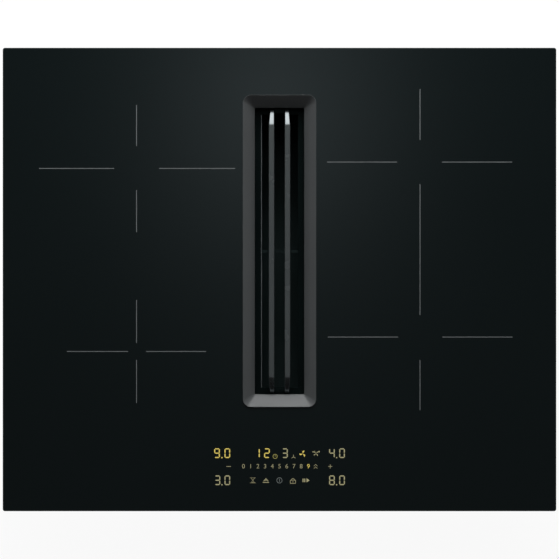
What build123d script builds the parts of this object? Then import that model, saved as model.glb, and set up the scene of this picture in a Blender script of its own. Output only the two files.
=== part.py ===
from build123d import *
import os
from math import cos, pi, radians, sin, sqrt

# An induction hob with a downdraft extractor. A ceramic glass plate lies on the worktop, with a
# sheet-steel casing of coils and electronics below it. The intake slot in its middle holds a
# lift-out grille, filter basket and drip tray, over a trough that catches an overflow. Air turns
# right in the plenum, goes down into a radial fan and leaves to the rear through a flat duct.
#
# Millimetres. The origin is the centre of the glass on the worktop plane, +X to the right,
# +Y to the rear and +Z up.

# ---------------------------------------------------------------- driving sizes

# Glass and worktop
glass_width = 614.0
glass_depth = 514.0
glass_thickness = 4.0
glass_corner = 2.5
glass_bevel = 0.5
seal_thickness = 1.5
seal_width = 8.0
seal_inset = 3.0
cutout_width = 560.0
cutout_depth = 490.0
cutout_gap = 4.0  # casing to the edge of the worktop cut-out, each side

# Slot bezel
slot_offset = 31.6  # the slot's centre lies behind the glass centre
lip_width = 81.3
lip_length = 346.0
lip_corner = 8.9
lip_height = 0.8
lip_round = 0.5
lip_land = 1.2  # level ring between the lip's edge and the sloping faces
lip_overlap = 1.0  # lip over the edge of the glass hole
throat_width = 55.1
throat_length = 319.3
throat_corner = 1.2
corner_steps = 3  # flat steps in each corner of the sloping faces
face_drop = 9.3  # height of the sloping faces
collar_wall = 1.5
collar_depth = 6.0
bezel_seal_thickness = 0.3
bezel_gap = 0.3  # bezel skirt to the glass hole

# Casing
sheet = 1.0
casing_height = 52.0
casing_flange = 3.0
vent_width = 4.0
vent_length = 56.0
vent_pitch = 12.0
vent_count = 5
outlet_slot_height = 22.0
outlet_slot_pitch = 18.0
outlet_slot_count = 5

# Intake well
well_wall = 2.0
well_gap = 0.65  # bezel skirt to the well wall
well_flange = 8.0
well_flange_thickness = 1.5
well_gasket_thickness = 0.8
ledge_bearing = 2.15
ledge_thickness = 2.5
well_clearance = 0.5  # well to the openings it passes through
well_into_plenum = 5.0

# Filter basket, grille and drip tray
lift_gap = 0.4  # each side, of what lifts out through an opening
rim_thickness = 1.2
rim_inner_width = 41.0
rim_headroom = 0.5
basket_wall = 1.0
basket_depth = 63.0
basket_corner = 2.0
filter_slot_width = 16.0
filter_slot_height = 40.0
filter_slot_pitch = 24.0
filter_slot_count = 12
filter_slot_drop = 14.0  # rim to the top of the slots
rib_thickness = 3.0
rib_height = 6.0
rib_drop = 3.0
bar_width = 5.9
bar_spacing = 17.7
bar_flat = 280.6
bar_top = 4.0
bar_depth = 12.0
bar_bevel = 0.5
bar_end_radius = 56.0  # slope at each end, and then the rounded nose
bar_end_drop = 4.84
nose_radius = 5.6
nose_reach = 3.15
nose_drop = 5.03
bar_end_taper = 1.4
bar_end_gap = 1.2
foot_length = 5.0
yoke_height = 4.0
tray_wall = 1.2
tray_height = 16.0
tray_drop = 12.0  # below the inlet plate
tray_corner = 3.0
tray_room = 3.9
tray_shelf = 27.0
shelf_thickness = 4.0

# Fan unit below the casing
wall = 2.5
housing_gasket = 2.5
gasket_width = 10.0
plenum_height = 50.5
plenum_margin = 4.0
plenum_corner = 5.0
flange_width = 10.0
scroll_height = 94.0
housing_gap = 1.5
duct_width = 222.0
duct_height = 89.0
duct_corner = 6.0
duct_reach = 42.0
duct_flange = 3.0
duct_lap = 4.0
fan_offset = 25.0  # impeller axis behind the glass centre
impeller_radius = 75.0
impeller_height = 66.0
impeller_floor = 14.0  # scroll floor to the back plate
impeller_skin = 2.0
eye_radius = 50.0
blade_count = 9
blade_thickness = 2.0
blade_root = 50.0
blade_sweep = 46.0  # degrees that the tip trails the root
blade_bend = 0.8
blade_panels = 3  # straight panels that follow the curve of a blade
scroll_gap = 7.0
scroll_step = 12.0  # growth of the spiral in each quarter turn
tongue_radius = 5.0
nozzle_gap = 2.2  # tip of the inlet nozzle to the impeller's eye
nozzle_spread = 9.0
nozzle_wall = 1.3
nozzle_dip = 2.0  # nozzle into the eye

# Fan motor
shaft_radius = 3.0
shaft_clearance = 0.05
tube_radius = 12.0
rotor_radius = 40.0
rotor_height = 34.0
rotor_wall = 2.5
air_gap = 1.0
stator_height = 24.0
stator_teeth = 9
tooth_width = 9.0
motor_plate_radius = 58.0
motor_plate_thickness = 2.0
motor_base_thickness = 3.0
mount_count = 3
mount_circle_radius = 50.0
buffer_radius = 7.0
buffer_height = 4.0
nut_radius = 4.6
nut_height = 3.2

# Induction coils: centres left and right of the glass centre, and front and rear
coil_left = 158.5
coil_right = 155.9
coil_left_rear = 123.2
coil_left_front = 79.8
coil_right_rear = 130.2
coil_right_front = 63.8
coil_rear_radius = 97.0
coil_front_radius = 70.0
coil_oval_width = 190.0
coil_oval_length = 172.0
coil_oval_corner = 78.0
coil_bore = 22.0
coil_thickness = 4.0
mica_thickness = 0.6
mica_margin = 3.0
carrier_thickness = 2.0
carrier_margin = 4.0
ferrite_length = 44.0
ferrite_width = 9.0
ferrite_height = 5.0
ferrite_count = 4
sensor_size = 10.0
coil_plate_thickness = 1.5
coil_plate_inner = 62.0
coil_plate_outer = 268.0
coil_plate_front = 156.0
coil_plate_rear = 228.0
post_size = 8.0
post_inset = 8.0

# Electronics
board_thickness = 1.6
standoff = 4.0
standoff_radius = 3.0
stud_inset = 6.0
board_width = 180.0
board_length = 240.0
board_across = 162.0
board_along = 52.0
sink_width = 44.0
sink_length = 150.0
sink_base = 4.0
sink_height = 26.0
sink_fins = 7
fin_thickness = 1.6
sink_shift = 42.0
capacitor_radius = 13.0
capacitor_height = 24.0
relay_size = 22.0
relay_height = 16.0
parts_pitch = 38.0
parts_shift = 44.0
blower_size = 80.0
blower_height = 22.0
blower_along = 130.0
blower_wall = 2.0
blower_radius = 34.0
blower_hub = 14.0
blower_blades = 7
blower_pin = 2.0
blower_room = 2.0
blower_spoke = 5.0
blower_chord = 9.0
blower_pitch = 40.0  # degrees
blower_blade_thickness = 1.2
panel_inset = 50.0
panel_width = 190.0
panel_depth = 56.0
panel_wall = 2.0
panel_height = 12.0
panel_leg = 8.0
digit_width = 18.0
digit_depth = 13.0
digit_across = 120.0
digit_rows = 26.0
digit_middle = 50.0
pad_size = 5.0
pad_pitch = 7.2
pad_count = 13
pad_lower_count = 5
terminal_width = 58.0
terminal_depth = 26.0
terminal_height = 22.0
terminal_setback = 15.0  # terminal block to the casing's rear wall
terminal_gap = 22.0
terminal_cover_height = 8.0
terminal_pitch = 9.0
terminal_ways = 6
terminal_hole = 6.0
gland_neck = 18.0
gland_bore = 7.0
gland_nut = 14.0
gland_length = 13.0
gland_nut_height = 6.0
gland_drop = 22.0
filter_width = 150.0
filter_depth = 30.0
filter_across = 160.0
filter_setback = 13.0  # mains filter to the casing's rear wall
choke_size = 22.0
choke_core = 8.0
fan_box_width = 104.0
fan_box_length = 130.0
fan_box_height = 34.0
fan_box_wall = 2.0
fan_box_gap = 6.0
fan_box_along = 10.0

# Clips and brackets
clip_width = 20.0
clip_thickness = 0.8
clip_height = 36.0
clip_bulge = 3.0
clip_drop = 6.0
clip_along = 150.0
bracket_hole = 2.1
bracket_pitch = 120.0
clip_reach = 7.0
bracket_width = 30.0
bracket_sheet = 1.2

# ---------------------------------------------------------------- places worked out from them

glass_bottom = seal_thickness
glass_top = glass_bottom + glass_thickness
slot = (0, slot_offset)

lip_bottom = glass_top + bezel_seal_thickness
lip_top = lip_bottom + lip_height
hole_width = lip_width - 2 * lip_overlap
hole_length = lip_length - 2 * lip_overlap
hole_corner = lip_corner - lip_overlap
skirt_width = hole_width - 2 * bezel_gap
skirt_length = hole_length - 2 * bezel_gap
skirt_corner = hole_corner - bezel_gap
throat_level = lip_top - face_drop
collar_width = throat_width + 2 * collar_wall
collar_length = throat_length + 2 * collar_wall
collar_corner = throat_corner + collar_wall
collar_bottom = throat_level - collar_depth

casing_width = cutout_width - 2 * cutout_gap
casing_depth = cutout_depth - 2 * cutout_gap
casing_bottom = glass_bottom - casing_height
casing_floor = casing_bottom + sheet
clip_top = glass_bottom - sheet - clip_drop

well_inner_width = skirt_width + 2 * well_gap
well_inner_length = skirt_length + 2 * well_gap
well_width = well_inner_width + 2 * well_wall
well_length = well_inner_length + 2 * well_wall
well_top = glass_bottom - well_gasket_thickness
plenum_top = casing_bottom - housing_gasket
well_bottom = plenum_top - well_into_plenum

rim_width = throat_width - 2 * lift_gap
rim_length = throat_length - 2 * lift_gap
rim_border = (rim_width - rim_inner_width) / 2
rim_top = collar_bottom - rim_headroom
rim_bottom = rim_top - rim_thickness
ledge_width = rim_width - 2 * ledge_bearing
ledge_length = rim_length - 2 * ledge_bearing
basket_width = ledge_width - 2 * lift_gap
basket_length = ledge_length - 2 * lift_gap
bar_length = throat_length - 2 * bar_end_gap

plate_top = plenum_top - plenum_height
plate_bottom = plate_top - wall
unit_bottom = plate_bottom - scroll_height
unit_floor = unit_bottom + wall
tray_bottom = plate_bottom - tray_drop

plenum_left = -well_width / 2 - plenum_margin
plenum_front = slot_offset - well_length / 2 - plenum_margin
plenum_rear = slot_offset + well_length / 2 + plenum_margin
trough_right = basket_width / 2 + tray_room + wall
scroll_left = trough_right + housing_gap + wall
spiral_first = impeller_radius + scroll_gap + scroll_step / 2
spiral_second = spiral_first + scroll_step
spiral_third = spiral_second + scroll_step
duct_inner_width = duct_width - 2 * wall
scroll_right = scroll_left + duct_inner_width
fan_across = scroll_right - spiral_third - scroll_step / 2
fan = (fan_across, fan_offset)
plenum_right = scroll_right + wall
plenum_width = plenum_right - plenum_left
plenum_length = plenum_rear - plenum_front
plenum_centre = ((plenum_left + plenum_right) / 2, (plenum_front + plenum_rear) / 2)
duct_level = unit_bottom + duct_height / 2 + (scroll_height - duct_height) / 4
duct_centre = (scroll_left + scroll_right) / 2

back_plate = unit_floor + impeller_floor
blade_bottom = back_plate + impeller_skin
shroud_top = blade_bottom + impeller_height
eye_bore = eye_radius - nozzle_gap - nozzle_wall
motor_plate_bottom = unit_floor + buffer_height
motor_plate_top = motor_plate_bottom + motor_plate_thickness
motor_base_top = motor_plate_top + motor_base_thickness
rotor_bottom = motor_base_top + air_gap
rotor_top = rotor_bottom + rotor_height
stator_radius = rotor_radius - rotor_wall - air_gap

coil_top = glass_bottom - mica_thickness
coil_bottom = coil_top - coil_thickness
carrier_bottom = coil_bottom - carrier_thickness
coil_plate_top = carrier_bottom - ferrite_height
coil_plate_bottom = coil_plate_top - coil_plate_thickness

casing_rear = casing_depth / 2 - sheet
terminal_along = casing_rear - terminal_setback - terminal_depth / 2
filter_along = casing_rear - filter_setback - filter_depth / 2
terminal_reach = coil_plate_outer - post_inset - post_size / 2 - terminal_gap
terminal_across = terminal_reach - terminal_width / 2
board_bottom = casing_floor + standoff
board_top = board_bottom + board_thickness
panel_along = glass_depth / 2 - panel_inset
panel_top = glass_bottom - panel_wall
panel_bottom = panel_top - panel_height
fan_box_across = plenum_left - flange_width - fan_box_gap - fan_box_width / 2

flange_outline_width = plenum_width + 2 * flange_width
flange_outline_length = plenum_length + 2 * flange_width
side_pitch = plenum_length / 3
clip_rows = [plenum_centre[1] + step * side_pitch for step in (-1, 0, 1)]
bracket_columns = [plenum_centre[0] + step * plenum_width / 4 for step in (-1, 1)]


def rounded(width, length, corner, height, at=(0, 0)):
    """A rounded rectangle on the level plane at this height."""
    with BuildSketch(Plane.XY.offset(height)) as outline:
        with Locations(at):
            RectangleRounded(width, length, corner)
    return outline.sketch


def faceted(width, length, corner, height, at=(0, 0)):
    """A rectangle whose corners are rounded in flat steps, so that it lofts into flat faces."""
    points = []
    for quarter, (x, y) in enumerate([(1, 1), (-1, 1), (-1, -1), (1, -1)]):
        for step in range(corner_steps + 1):
            turn = pi / 2 * (quarter + step / corner_steps)
            points.append((
                at[0] + x * (width / 2 - corner) + corner * cos(turn),
                at[1] + y * (length / 2 - corner) + corner * sin(turn),
            ))
    with BuildSketch(Plane.XY.offset(height)) as outline:
        with BuildLine():
            Polyline(*points, close=True)
        make_face()
    return outline.sketch


def disc(radius, height, at=(0, 0)):
    """A round disc on the level plane at this height."""
    with BuildSketch(Plane.XY.offset(height)) as outline:
        with Locations(at):
            Circle(radius)
    return outline.sketch


def ring(outer, inner, height, at=(0, 0)):
    """A flat ring on the level plane at this height."""
    with BuildSketch(Plane.XY.offset(height)) as outline:
        with Locations(at):
            Circle(outer)
            Circle(inner, mode=Mode.SUBTRACT)
    return outline.sketch


def block(width, length, height, at=(0, 0)):
    """A sharp rectangle on the level plane at this height."""
    with BuildSketch(Plane.XY.offset(height)) as outline:
        with Locations(at):
            Rectangle(width, length)
    return outline.sketch


# ---------------------------------------------------------------- glass, seals and bezel

with BuildPart() as glass_plate:
    extrude(rounded(glass_width, glass_depth, glass_corner, glass_bottom), amount=glass_thickness)
    chamfer(glass_plate.faces().sort_by(Axis.Z)[-1].edges(), length=glass_bevel)
    extrude(
        rounded(hole_width, hole_length, hole_corner, glass_bottom, slot),
        amount=glass_thickness,
        mode=Mode.SUBTRACT,
    )
glass_plate.part.label = "glass_plate"
export_step(glass_plate.part, "parts/glass_plate.step")

with BuildPart() as worktop_seal:
    seal_outer_width = glass_width - 2 * seal_inset
    seal_outer_depth = glass_depth - 2 * seal_inset
    extrude(block(seal_outer_width, seal_outer_depth, 0), amount=seal_thickness)
    extrude(
        block(seal_outer_width - 2 * seal_width, seal_outer_depth - 2 * seal_width, 0),
        amount=seal_thickness,
        mode=Mode.SUBTRACT,
    )
worktop_seal.part.label = "worktop_seal"
export_step(worktop_seal.part, "parts/worktop_seal.step")

with BuildPart() as bezel_frame:
    extrude(rounded(lip_width, lip_length, lip_corner, lip_bottom, slot), amount=lip_height)
    chamfer(bezel_frame.faces().sort_by(Axis.Z)[-1].edges(), length=lip_round)
    extrude(
        faceted(skirt_width, skirt_length, skirt_corner, lip_bottom, slot),
        amount=glass_bottom - lip_bottom,
    )
    loft(
        [
            faceted(skirt_width, skirt_length, skirt_corner, glass_bottom, slot),
            faceted(collar_width, collar_length, collar_corner, throat_level, slot),
        ],
        ruled=True,
    )
    extrude(
        faceted(collar_width, collar_length, collar_corner, throat_level, slot),
        amount=-collar_depth,
    )
    face_width = lip_width - 2 * lip_land
    face_length = lip_length - 2 * lip_land
    loft(
        [
            faceted(face_width, face_length, lip_corner - lip_land, lip_top, slot),
            faceted(throat_width, throat_length, throat_corner, throat_level, slot),
        ],
        ruled=True,
        mode=Mode.SUBTRACT,
    )
    extrude(
        faceted(throat_width, throat_length, throat_corner, throat_level, slot),
        amount=-collar_depth,
        mode=Mode.SUBTRACT,
    )

with BuildSketch(Plane.XY.offset(collar_bottom)) as bezel_ends:
    # squares over the four corners, from the corners of the throat outwards
    square_x = (lip_width - throat_width) / 2 + throat_corner
    square_y = (lip_length - throat_length) / 2 + throat_corner
    with Locations(slot):
        with GridLocations(lip_width - square_x, lip_length - square_y, 2, 2):
            Rectangle(square_x, square_y)

with BuildPart() as slot_bezel:
    # the four straight rails
    add(bezel_frame.part)
    extrude(bezel_ends.sketch, amount=lip_top - collar_bottom, mode=Mode.SUBTRACT)
slot_bezel.part.label = "slot_bezel"
export_step(slot_bezel.part, "parts/slot_bezel.step")

with BuildPart() as bezel_corners:
    add(bezel_frame.part)
    extrude(bezel_ends.sketch, amount=lip_top - collar_bottom, mode=Mode.INTERSECT)
bezel_corners.part.label = "bezel_corners"
export_step(bezel_corners.part, "parts/bezel_corners.step")

with BuildPart() as bezel_seal:
    extrude(
        faceted(
            lip_width - bezel_gap,
            lip_length - bezel_gap,
            lip_corner - bezel_gap / 2,
            glass_top,
            slot,
        ),
        amount=bezel_seal_thickness,
    )
    extrude(
        faceted(hole_width, hole_length, hole_corner, glass_top, slot),
        amount=bezel_seal_thickness,
        mode=Mode.SUBTRACT,
    )
bezel_seal.part.label = "bezel_seal"
export_step(bezel_seal.part, "parts/bezel_seal.step")

# ---------------------------------------------------------------- casing

with BuildPart() as casing:
    extrude(block(casing_width, casing_depth, casing_bottom), amount=casing_height)
    extrude(
        block(casing_width + 2 * casing_flange, casing_depth + 2 * casing_flange, glass_bottom),
        amount=-sheet,
    )
    extrude(
        block(casing_width - 2 * sheet, casing_depth - 2 * sheet, casing_floor),
        amount=casing_height - sheet,
        mode=Mode.SUBTRACT,
    )
    # opening for the intake well
    extrude(
        block(
            well_width + 2 * well_clearance, well_length + 2 * well_clearance, casing_bottom, slot
        ),
        amount=sheet,
        mode=Mode.SUBTRACT,
    )
    # air inlets under the two cooling fans
    for side in (-1, 1):
        with BuildSketch(Plane.XY.offset(casing_bottom)):
            with Locations((side * board_across, -blower_along)):
                with GridLocations(0, vent_pitch, 1, vent_count):
                    Rectangle(vent_length, vent_width)
        extrude(amount=sheet, mode=Mode.SUBTRACT)
    # air outlets in the front wall, above the worktop's cupboard
    with BuildSketch(Plane.XZ.offset(casing_depth / 2)):
        for side in (-1, 1):
            with Locations((side * board_across, casing_floor + casing_height / 2)):
                with GridLocations(outlet_slot_pitch, 0, outlet_slot_count, 1):
                    Rectangle(vent_width, outlet_slot_height)
    extrude(amount=-sheet, mode=Mode.SUBTRACT)
    # bracket holes in the rear wall
    with BuildSketch(Plane.XZ.offset(-casing_depth / 2)):
        with Locations((0, casing_floor + casing_height / 2)):
            with GridLocations(bracket_pitch, 0, 2, 1):
                Circle(bracket_hole)
    extrude(amount=sheet, mode=Mode.SUBTRACT)
    # mains lead entry in the rear wall
    with BuildSketch(Plane.XZ.offset(-casing_depth / 2)):
        with Locations((-terminal_across, casing_floor + gland_drop)):
            Rectangle(gland_neck, gland_neck)
    extrude(amount=sheet, mode=Mode.SUBTRACT)
casing.part.label = "casing"
export_step(casing.part, "parts/casing.step")

# Four bent leaf clips hold the hob in the worktop cut-out
with BuildPart() as worktop_clips:
    for along in (-clip_along, clip_along):
        for side in (-1, 1):
            wall_face = side * casing_width / 2
            leaf = side * clip_thickness
            with BuildSketch(Plane.XZ.offset(-along - clip_width / 2)):
                with BuildLine():
                    Polyline(
                        (wall_face, clip_top),
                        (wall_face + leaf, clip_top),
                        (wall_face + leaf, clip_top - clip_height + 2 * clip_thickness),
                        (wall_face + side * clip_bulge, clip_top - clip_height * 2 / 3),
                        (wall_face + side * clip_bulge - leaf, clip_top - clip_height / 3),
                        (wall_face + side * clip_bulge, clip_top - clip_height / 3),
                        (wall_face + side * clip_bulge + leaf, clip_top - clip_height * 2 / 3),
                        (wall_face + leaf, clip_top - clip_height),
                        (wall_face, clip_top - clip_height),
                        close=True,
                    )
                make_face()
            extrude(amount=clip_width)
worktop_clips.part.label = "worktop_clips"
export_step(worktop_clips.part, "parts/worktop_clips.step")

# ---------------------------------------------------------------- intake well and what lifts out

with BuildPart() as intake_well:
    extrude(block(well_width, well_length, well_bottom, slot), amount=well_top - well_bottom)
    extrude(
        block(well_width + 2 * well_flange, well_length + 2 * well_flange, well_top, slot),
        amount=-well_flange_thickness,
    )
    extrude(
        block(well_inner_width, well_inner_length, well_bottom, slot),
        amount=well_top - well_bottom,
        mode=Mode.SUBTRACT,
    )
    # ledge that carries the filter basket
    extrude(
        block(well_inner_width, well_inner_length, rim_bottom, slot),
        amount=-ledge_thickness,
    )
    extrude(
        block(ledge_width, ledge_length, rim_bottom, slot),
        amount=-ledge_thickness,
        mode=Mode.SUBTRACT,
    )
intake_well.part.label = "intake_well"
export_step(intake_well.part, "parts/intake_well.step")

with BuildPart() as well_gasket:
    extrude(
        block(well_width + 2 * well_flange, well_length + 2 * well_flange, well_top, slot),
        amount=well_gasket_thickness,
    )
    extrude(
        block(well_inner_width, well_inner_length, well_top, slot),
        amount=well_gasket_thickness,
        mode=Mode.SUBTRACT,
    )
well_gasket.part.label = "well_gasket"
export_step(well_gasket.part, "parts/well_gasket.step")

with BuildPart() as intake_grille:
    # side profile of a bar: flat on top, with both ends curved down to the basket's rim
    with BuildSketch(Plane.YZ):
        with BuildLine():
            front = slot_offset - bar_length / 2
            rear = slot_offset + bar_length / 2
            flat_front = slot_offset - bar_flat / 2
            flat_rear = slot_offset + bar_flat / 2
            bar_bottom = bar_top - bar_depth
            shoulder = bar_top - bar_end_drop
            nose_foot = shoulder - nose_drop
            Line((flat_front, bar_top), (flat_rear, bar_top))
            RadiusArc((flat_rear, bar_top), (rear - nose_reach, shoulder), bar_end_radius)
            RadiusArc((rear - nose_reach, shoulder), (rear, nose_foot), nose_radius)
            Polyline(
                (rear, nose_foot),
                (rear, rim_top),
                (rear - foot_length, rim_top),
                (rear - 2 * foot_length, bar_bottom),
                (front + 2 * foot_length, bar_bottom),
                (front + foot_length, rim_top),
                (front, rim_top),
                (front, nose_foot),
            )
            RadiusArc((front, nose_foot), (front + nose_reach, shoulder), nose_radius)
            RadiusArc((front + nose_reach, shoulder), (flat_front, bar_top), bar_end_radius)
        make_face()
    extrude(amount=bar_spacing, both=True)
    # plan of the two bars, tapered on their outer sides towards the ends
    with BuildSketch(Plane.XY.offset(rim_top)):
        with BuildLine():
            inner = bar_spacing / 2 - bar_width / 2
            outer = bar_spacing / 2 + bar_width / 2
            Polyline(
                (inner, front),
                (outer - bar_end_taper, front),
                (outer, flat_front),
                (outer, flat_rear),
                (outer - bar_end_taper, rear),
                (inner, rear),
                close=True,
            )
        make_face()
        mirror(about=Plane.YZ)
    extrude(amount=bar_top - rim_top, mode=Mode.INTERSECT)
    # cross-section of the bars, with both upper edges bevelled
    with BuildSketch(Plane.XZ.offset(-rear)) as bar_section:
        with Locations((0, (bar_top + rim_top) / 2)):
            with GridLocations(bar_spacing, 0, 2, 1):
                Rectangle(bar_width, bar_top - rim_top)
        chamfer(bar_section.vertices().group_by(Axis.Z)[-1], length=bar_bevel)
    extrude(amount=bar_length, mode=Mode.INTERSECT)
    # a yoke at each end joins the bars and stands on the basket's rim
    for end in (front + foot_length / 2, rear - foot_length / 2):
        extrude(
            block(bar_spacing, foot_length, rim_top, (0, end)),
            amount=yoke_height,
        )
intake_grille.part.label = "intake_grille"
export_step(intake_grille.part, "parts/intake_grille.step")

with BuildPart() as filter_basket:
    extrude(rounded(rim_width, rim_length, basket_corner, rim_bottom, slot), amount=rim_thickness)
    extrude(
        rounded(basket_width, basket_length, basket_corner, rim_bottom, slot),
        amount=-basket_depth,
    )
    inner_width = basket_width - 2 * basket_wall
    inner_length = basket_length - 2 * basket_wall
    extrude(
        block(inner_width, inner_length, rim_bottom, slot),
        amount=basket_wall - basket_depth,
        mode=Mode.SUBTRACT,
    )
    extrude(
        block(rim_inner_width, rim_length - 2 * rim_border, rim_bottom, slot),
        amount=rim_thickness,
        mode=Mode.SUBTRACT,
    )
    # upright slots in both long walls
    slot_level = rim_bottom - filter_slot_drop - filter_slot_height / 2
    with BuildSketch(Plane.YZ.offset(-basket_width / 2)):
        with Locations((slot_offset, slot_level)):
            with GridLocations(filter_slot_pitch, 0, filter_slot_count, 1):
                Rectangle(filter_slot_width, filter_slot_height)
    extrude(amount=basket_width, mode=Mode.SUBTRACT)
    # cross rib half way along
    extrude(
        block(inner_width, rib_thickness, rim_bottom - rib_drop, slot),
        amount=-rib_height,
    )
filter_basket.part.label = "filter_basket"
export_step(filter_basket.part, "parts/filter_basket.step")

with BuildPart() as drip_tray:
    extrude(
        rounded(basket_width, basket_length, tray_corner, tray_bottom, slot),
        amount=tray_height,
    )
    extrude(
        block(
            basket_width - 2 * tray_wall,
            basket_length - 2 * tray_wall,
            tray_bottom + tray_wall,
            slot,
        ),
        amount=tray_height - tray_wall,
        mode=Mode.SUBTRACT,
    )
drip_tray.part.label = "drip_tray"
export_step(drip_tray.part, "parts/drip_tray.step")

# ---------------------------------------------------------------- fan unit: shells

with BuildPart() as housing_gasket_ring:
    inner_width = well_width + 2 * well_clearance
    inner_length = well_length + 2 * well_clearance
    extrude(
        block(
            inner_width + 2 * gasket_width, inner_length + 2 * gasket_width, plenum_top, slot
        ),
        amount=housing_gasket,
    )
    extrude(
        block(inner_width, inner_length, plenum_top, slot),
        amount=housing_gasket,
        mode=Mode.SUBTRACT,
    )
housing_gasket_ring.part.label = "housing_gasket"
export_step(housing_gasket_ring.part, "parts/housing_gasket.step")

with BuildPart() as plenum_shell:
    extrude(
        rounded(plenum_width, plenum_length, plenum_corner, plate_top, plenum_centre),
        amount=plenum_height,
    )
    extrude(
        block(flange_outline_width, flange_outline_length, plate_top, plenum_centre),
        amount=wall,
    )
    extrude(
        block(plenum_width - 2 * wall, plenum_length - 2 * wall, plate_top, plenum_centre),
        amount=plenum_height - wall,
        mode=Mode.SUBTRACT,
    )
    extrude(
        block(
            well_width + 2 * well_clearance, well_length + 2 * well_clearance, plenum_top, slot
        ),
        amount=-wall,
        mode=Mode.SUBTRACT,
    )
plenum_shell.part.label = "plenum_shell"
export_step(plenum_shell.part, "parts/plenum_shell.step")

with BuildPart() as inlet_plate:
    extrude(
        block(flange_outline_width, flange_outline_length, plate_bottom, plenum_centre),
        amount=wall,
    )
    extrude(
        block(basket_width + 2 * tray_room, basket_length + 2 * tray_room, plate_bottom, slot),
        amount=wall,
        mode=Mode.SUBTRACT,
    )
    extrude(disc(eye_bore + nozzle_spread, plate_bottom, fan), amount=wall, mode=Mode.SUBTRACT)
    # nozzle that narrows down into the impeller's eye
    with BuildSketch(Plane.XZ.offset(-fan_offset)):
        with BuildLine():
            mouth = fan_across + eye_bore
            Polyline(
                (mouth + nozzle_spread, plate_top),
                (mouth, shroud_top - nozzle_dip),
                (mouth + nozzle_wall, shroud_top - nozzle_dip),
                (mouth + nozzle_spread, plate_bottom),
                close=True,
            )
        make_face()
    revolve(axis=Axis((fan_across, fan_offset, 0), (0, 0, 1)))
inlet_plate.part.label = "inlet_plate"
export_step(inlet_plate.part, "parts/inlet_plate.step")


def scroll_outline(height, grow, rear):
    """Plan of the scroll: three quarter turns that widen in steps, then a straight outlet."""
    x, y = fan
    first = (x - scroll_step / 2, y - scroll_step / 2)
    second = (x + scroll_step / 2, y - scroll_step / 2)
    third = (x + scroll_step / 2, y + scroll_step / 2)
    tongue = Vector(first[0], first[1] + spiral_first)
    with BuildSketch(Plane.XY.offset(height)) as outline:
        with BuildLine():
            CenterArc(first, spiral_first, 90, 90)
            CenterArc(second, spiral_second, 180, 90)
            CenterArc(third, spiral_third, 270, 90)
            Polyline(
                (scroll_right, third[1]), (scroll_right, rear), (scroll_left, rear),
                (tongue.X, tongue.Y),
            )
        make_face()
        corner = outline.vertices().sort_by_distance((tongue.X, tongue.Y, 0))[0]
        fillet(corner, radius=tongue_radius)
        if grow:
            offset(amount=grow, kind=Kind.ARC)
    return outline.sketch


with BuildPart() as scroll_housing:
    scroll_flange_left = trough_right + housing_gap
    scroll_flange_width = plenum_right + flange_width - scroll_flange_left
    extrude(
        block(
            scroll_flange_width,
            flange_outline_length,
            plate_bottom - wall,
            (scroll_flange_left + scroll_flange_width / 2, plenum_centre[1]),
        ),
        amount=wall,
    )
    extrude(scroll_outline(unit_bottom, wall, plenum_rear - wall), amount=scroll_height)
    extrude(
        scroll_outline(unit_floor, 0, plenum_rear + flange_width),
        amount=scroll_height - 2 * wall,
        mode=Mode.SUBTRACT,
    )
    extrude(
        scroll_outline(unit_floor, 0, plenum_rear - wall),
        amount=scroll_height,
        mode=Mode.SUBTRACT,
    )
scroll_housing.part.label = "scroll_housing"
export_step(scroll_housing.part, "parts/scroll_housing.step")

with BuildPart() as duct_spigot:
    spigot_at = (duct_centre, duct_level)
    spigot_flange_height = plate_bottom - wall - unit_bottom
    with BuildSketch(Plane.XZ.offset(-plenum_rear)):
        with Locations((duct_centre, unit_bottom + spigot_flange_height / 2)):
            Rectangle(duct_width + 2 * duct_lap, spigot_flange_height)
    extrude(amount=-duct_flange)
    with BuildSketch(Plane.XZ.offset(-plenum_rear)):
        with Locations(spigot_at):
            RectangleRounded(duct_width, duct_height, duct_corner)
    extrude(amount=-duct_reach)
    with BuildSketch(Plane.XZ.offset(-plenum_rear)):
        with Locations(spigot_at):
            Rectangle(duct_inner_width, duct_height - 2 * wall)
    extrude(amount=-duct_reach, mode=Mode.SUBTRACT)
duct_spigot.part.label = "duct_spigot"
export_step(duct_spigot.part, "parts/duct_spigot.step")

with BuildPart() as overflow_trough:
    trough_flange_left = plenum_left - flange_width
    trough_flange_width = trough_right - trough_flange_left
    trough_width = trough_right - plenum_left
    trough_at = ((plenum_left + trough_right) / 2, plenum_centre[1])
    extrude(
        block(
            trough_flange_width,
            flange_outline_length,
            plate_bottom - wall,
            (trough_flange_left + trough_flange_width / 2, plenum_centre[1]),
        ),
        amount=wall,
    )
    extrude(
        rounded(trough_width, plenum_length, plenum_corner, unit_bottom, trough_at),
        amount=scroll_height,
    )
    extrude(
        block(trough_width - 2 * wall, plenum_length - 2 * wall, unit_floor, trough_at),
        amount=scroll_height - wall,
        mode=Mode.SUBTRACT,
    )
    # shelves at both ends carry the drip tray
    for end in (
        plenum_front + wall + tray_shelf / 2,
        plenum_rear - wall - tray_shelf / 2,
    ):
        extrude(
            block(trough_width - 2 * wall, tray_shelf, tray_bottom, (trough_at[0], end)),
            amount=-shelf_thickness,
        )
overflow_trough.part.label = "overflow_trough"
export_step(overflow_trough.part, "parts/overflow_trough.step")


def grip(edge, low, high):
    """Section of a spring clip round a stack of flanges, drawn from its edge inwards."""
    with BuildSketch(edge) as section:
        with BuildLine():
            Polyline(
                (-clip_thickness, low - clip_thickness),
                (clip_reach, low - clip_thickness),
                (clip_reach, low),
                (0, low),
                (0, high),
                (clip_reach, high),
                (clip_reach, high + clip_thickness),
                (-clip_thickness, high + clip_thickness),
                close=True,
            )
        make_face()
    return section.sketch


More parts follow.
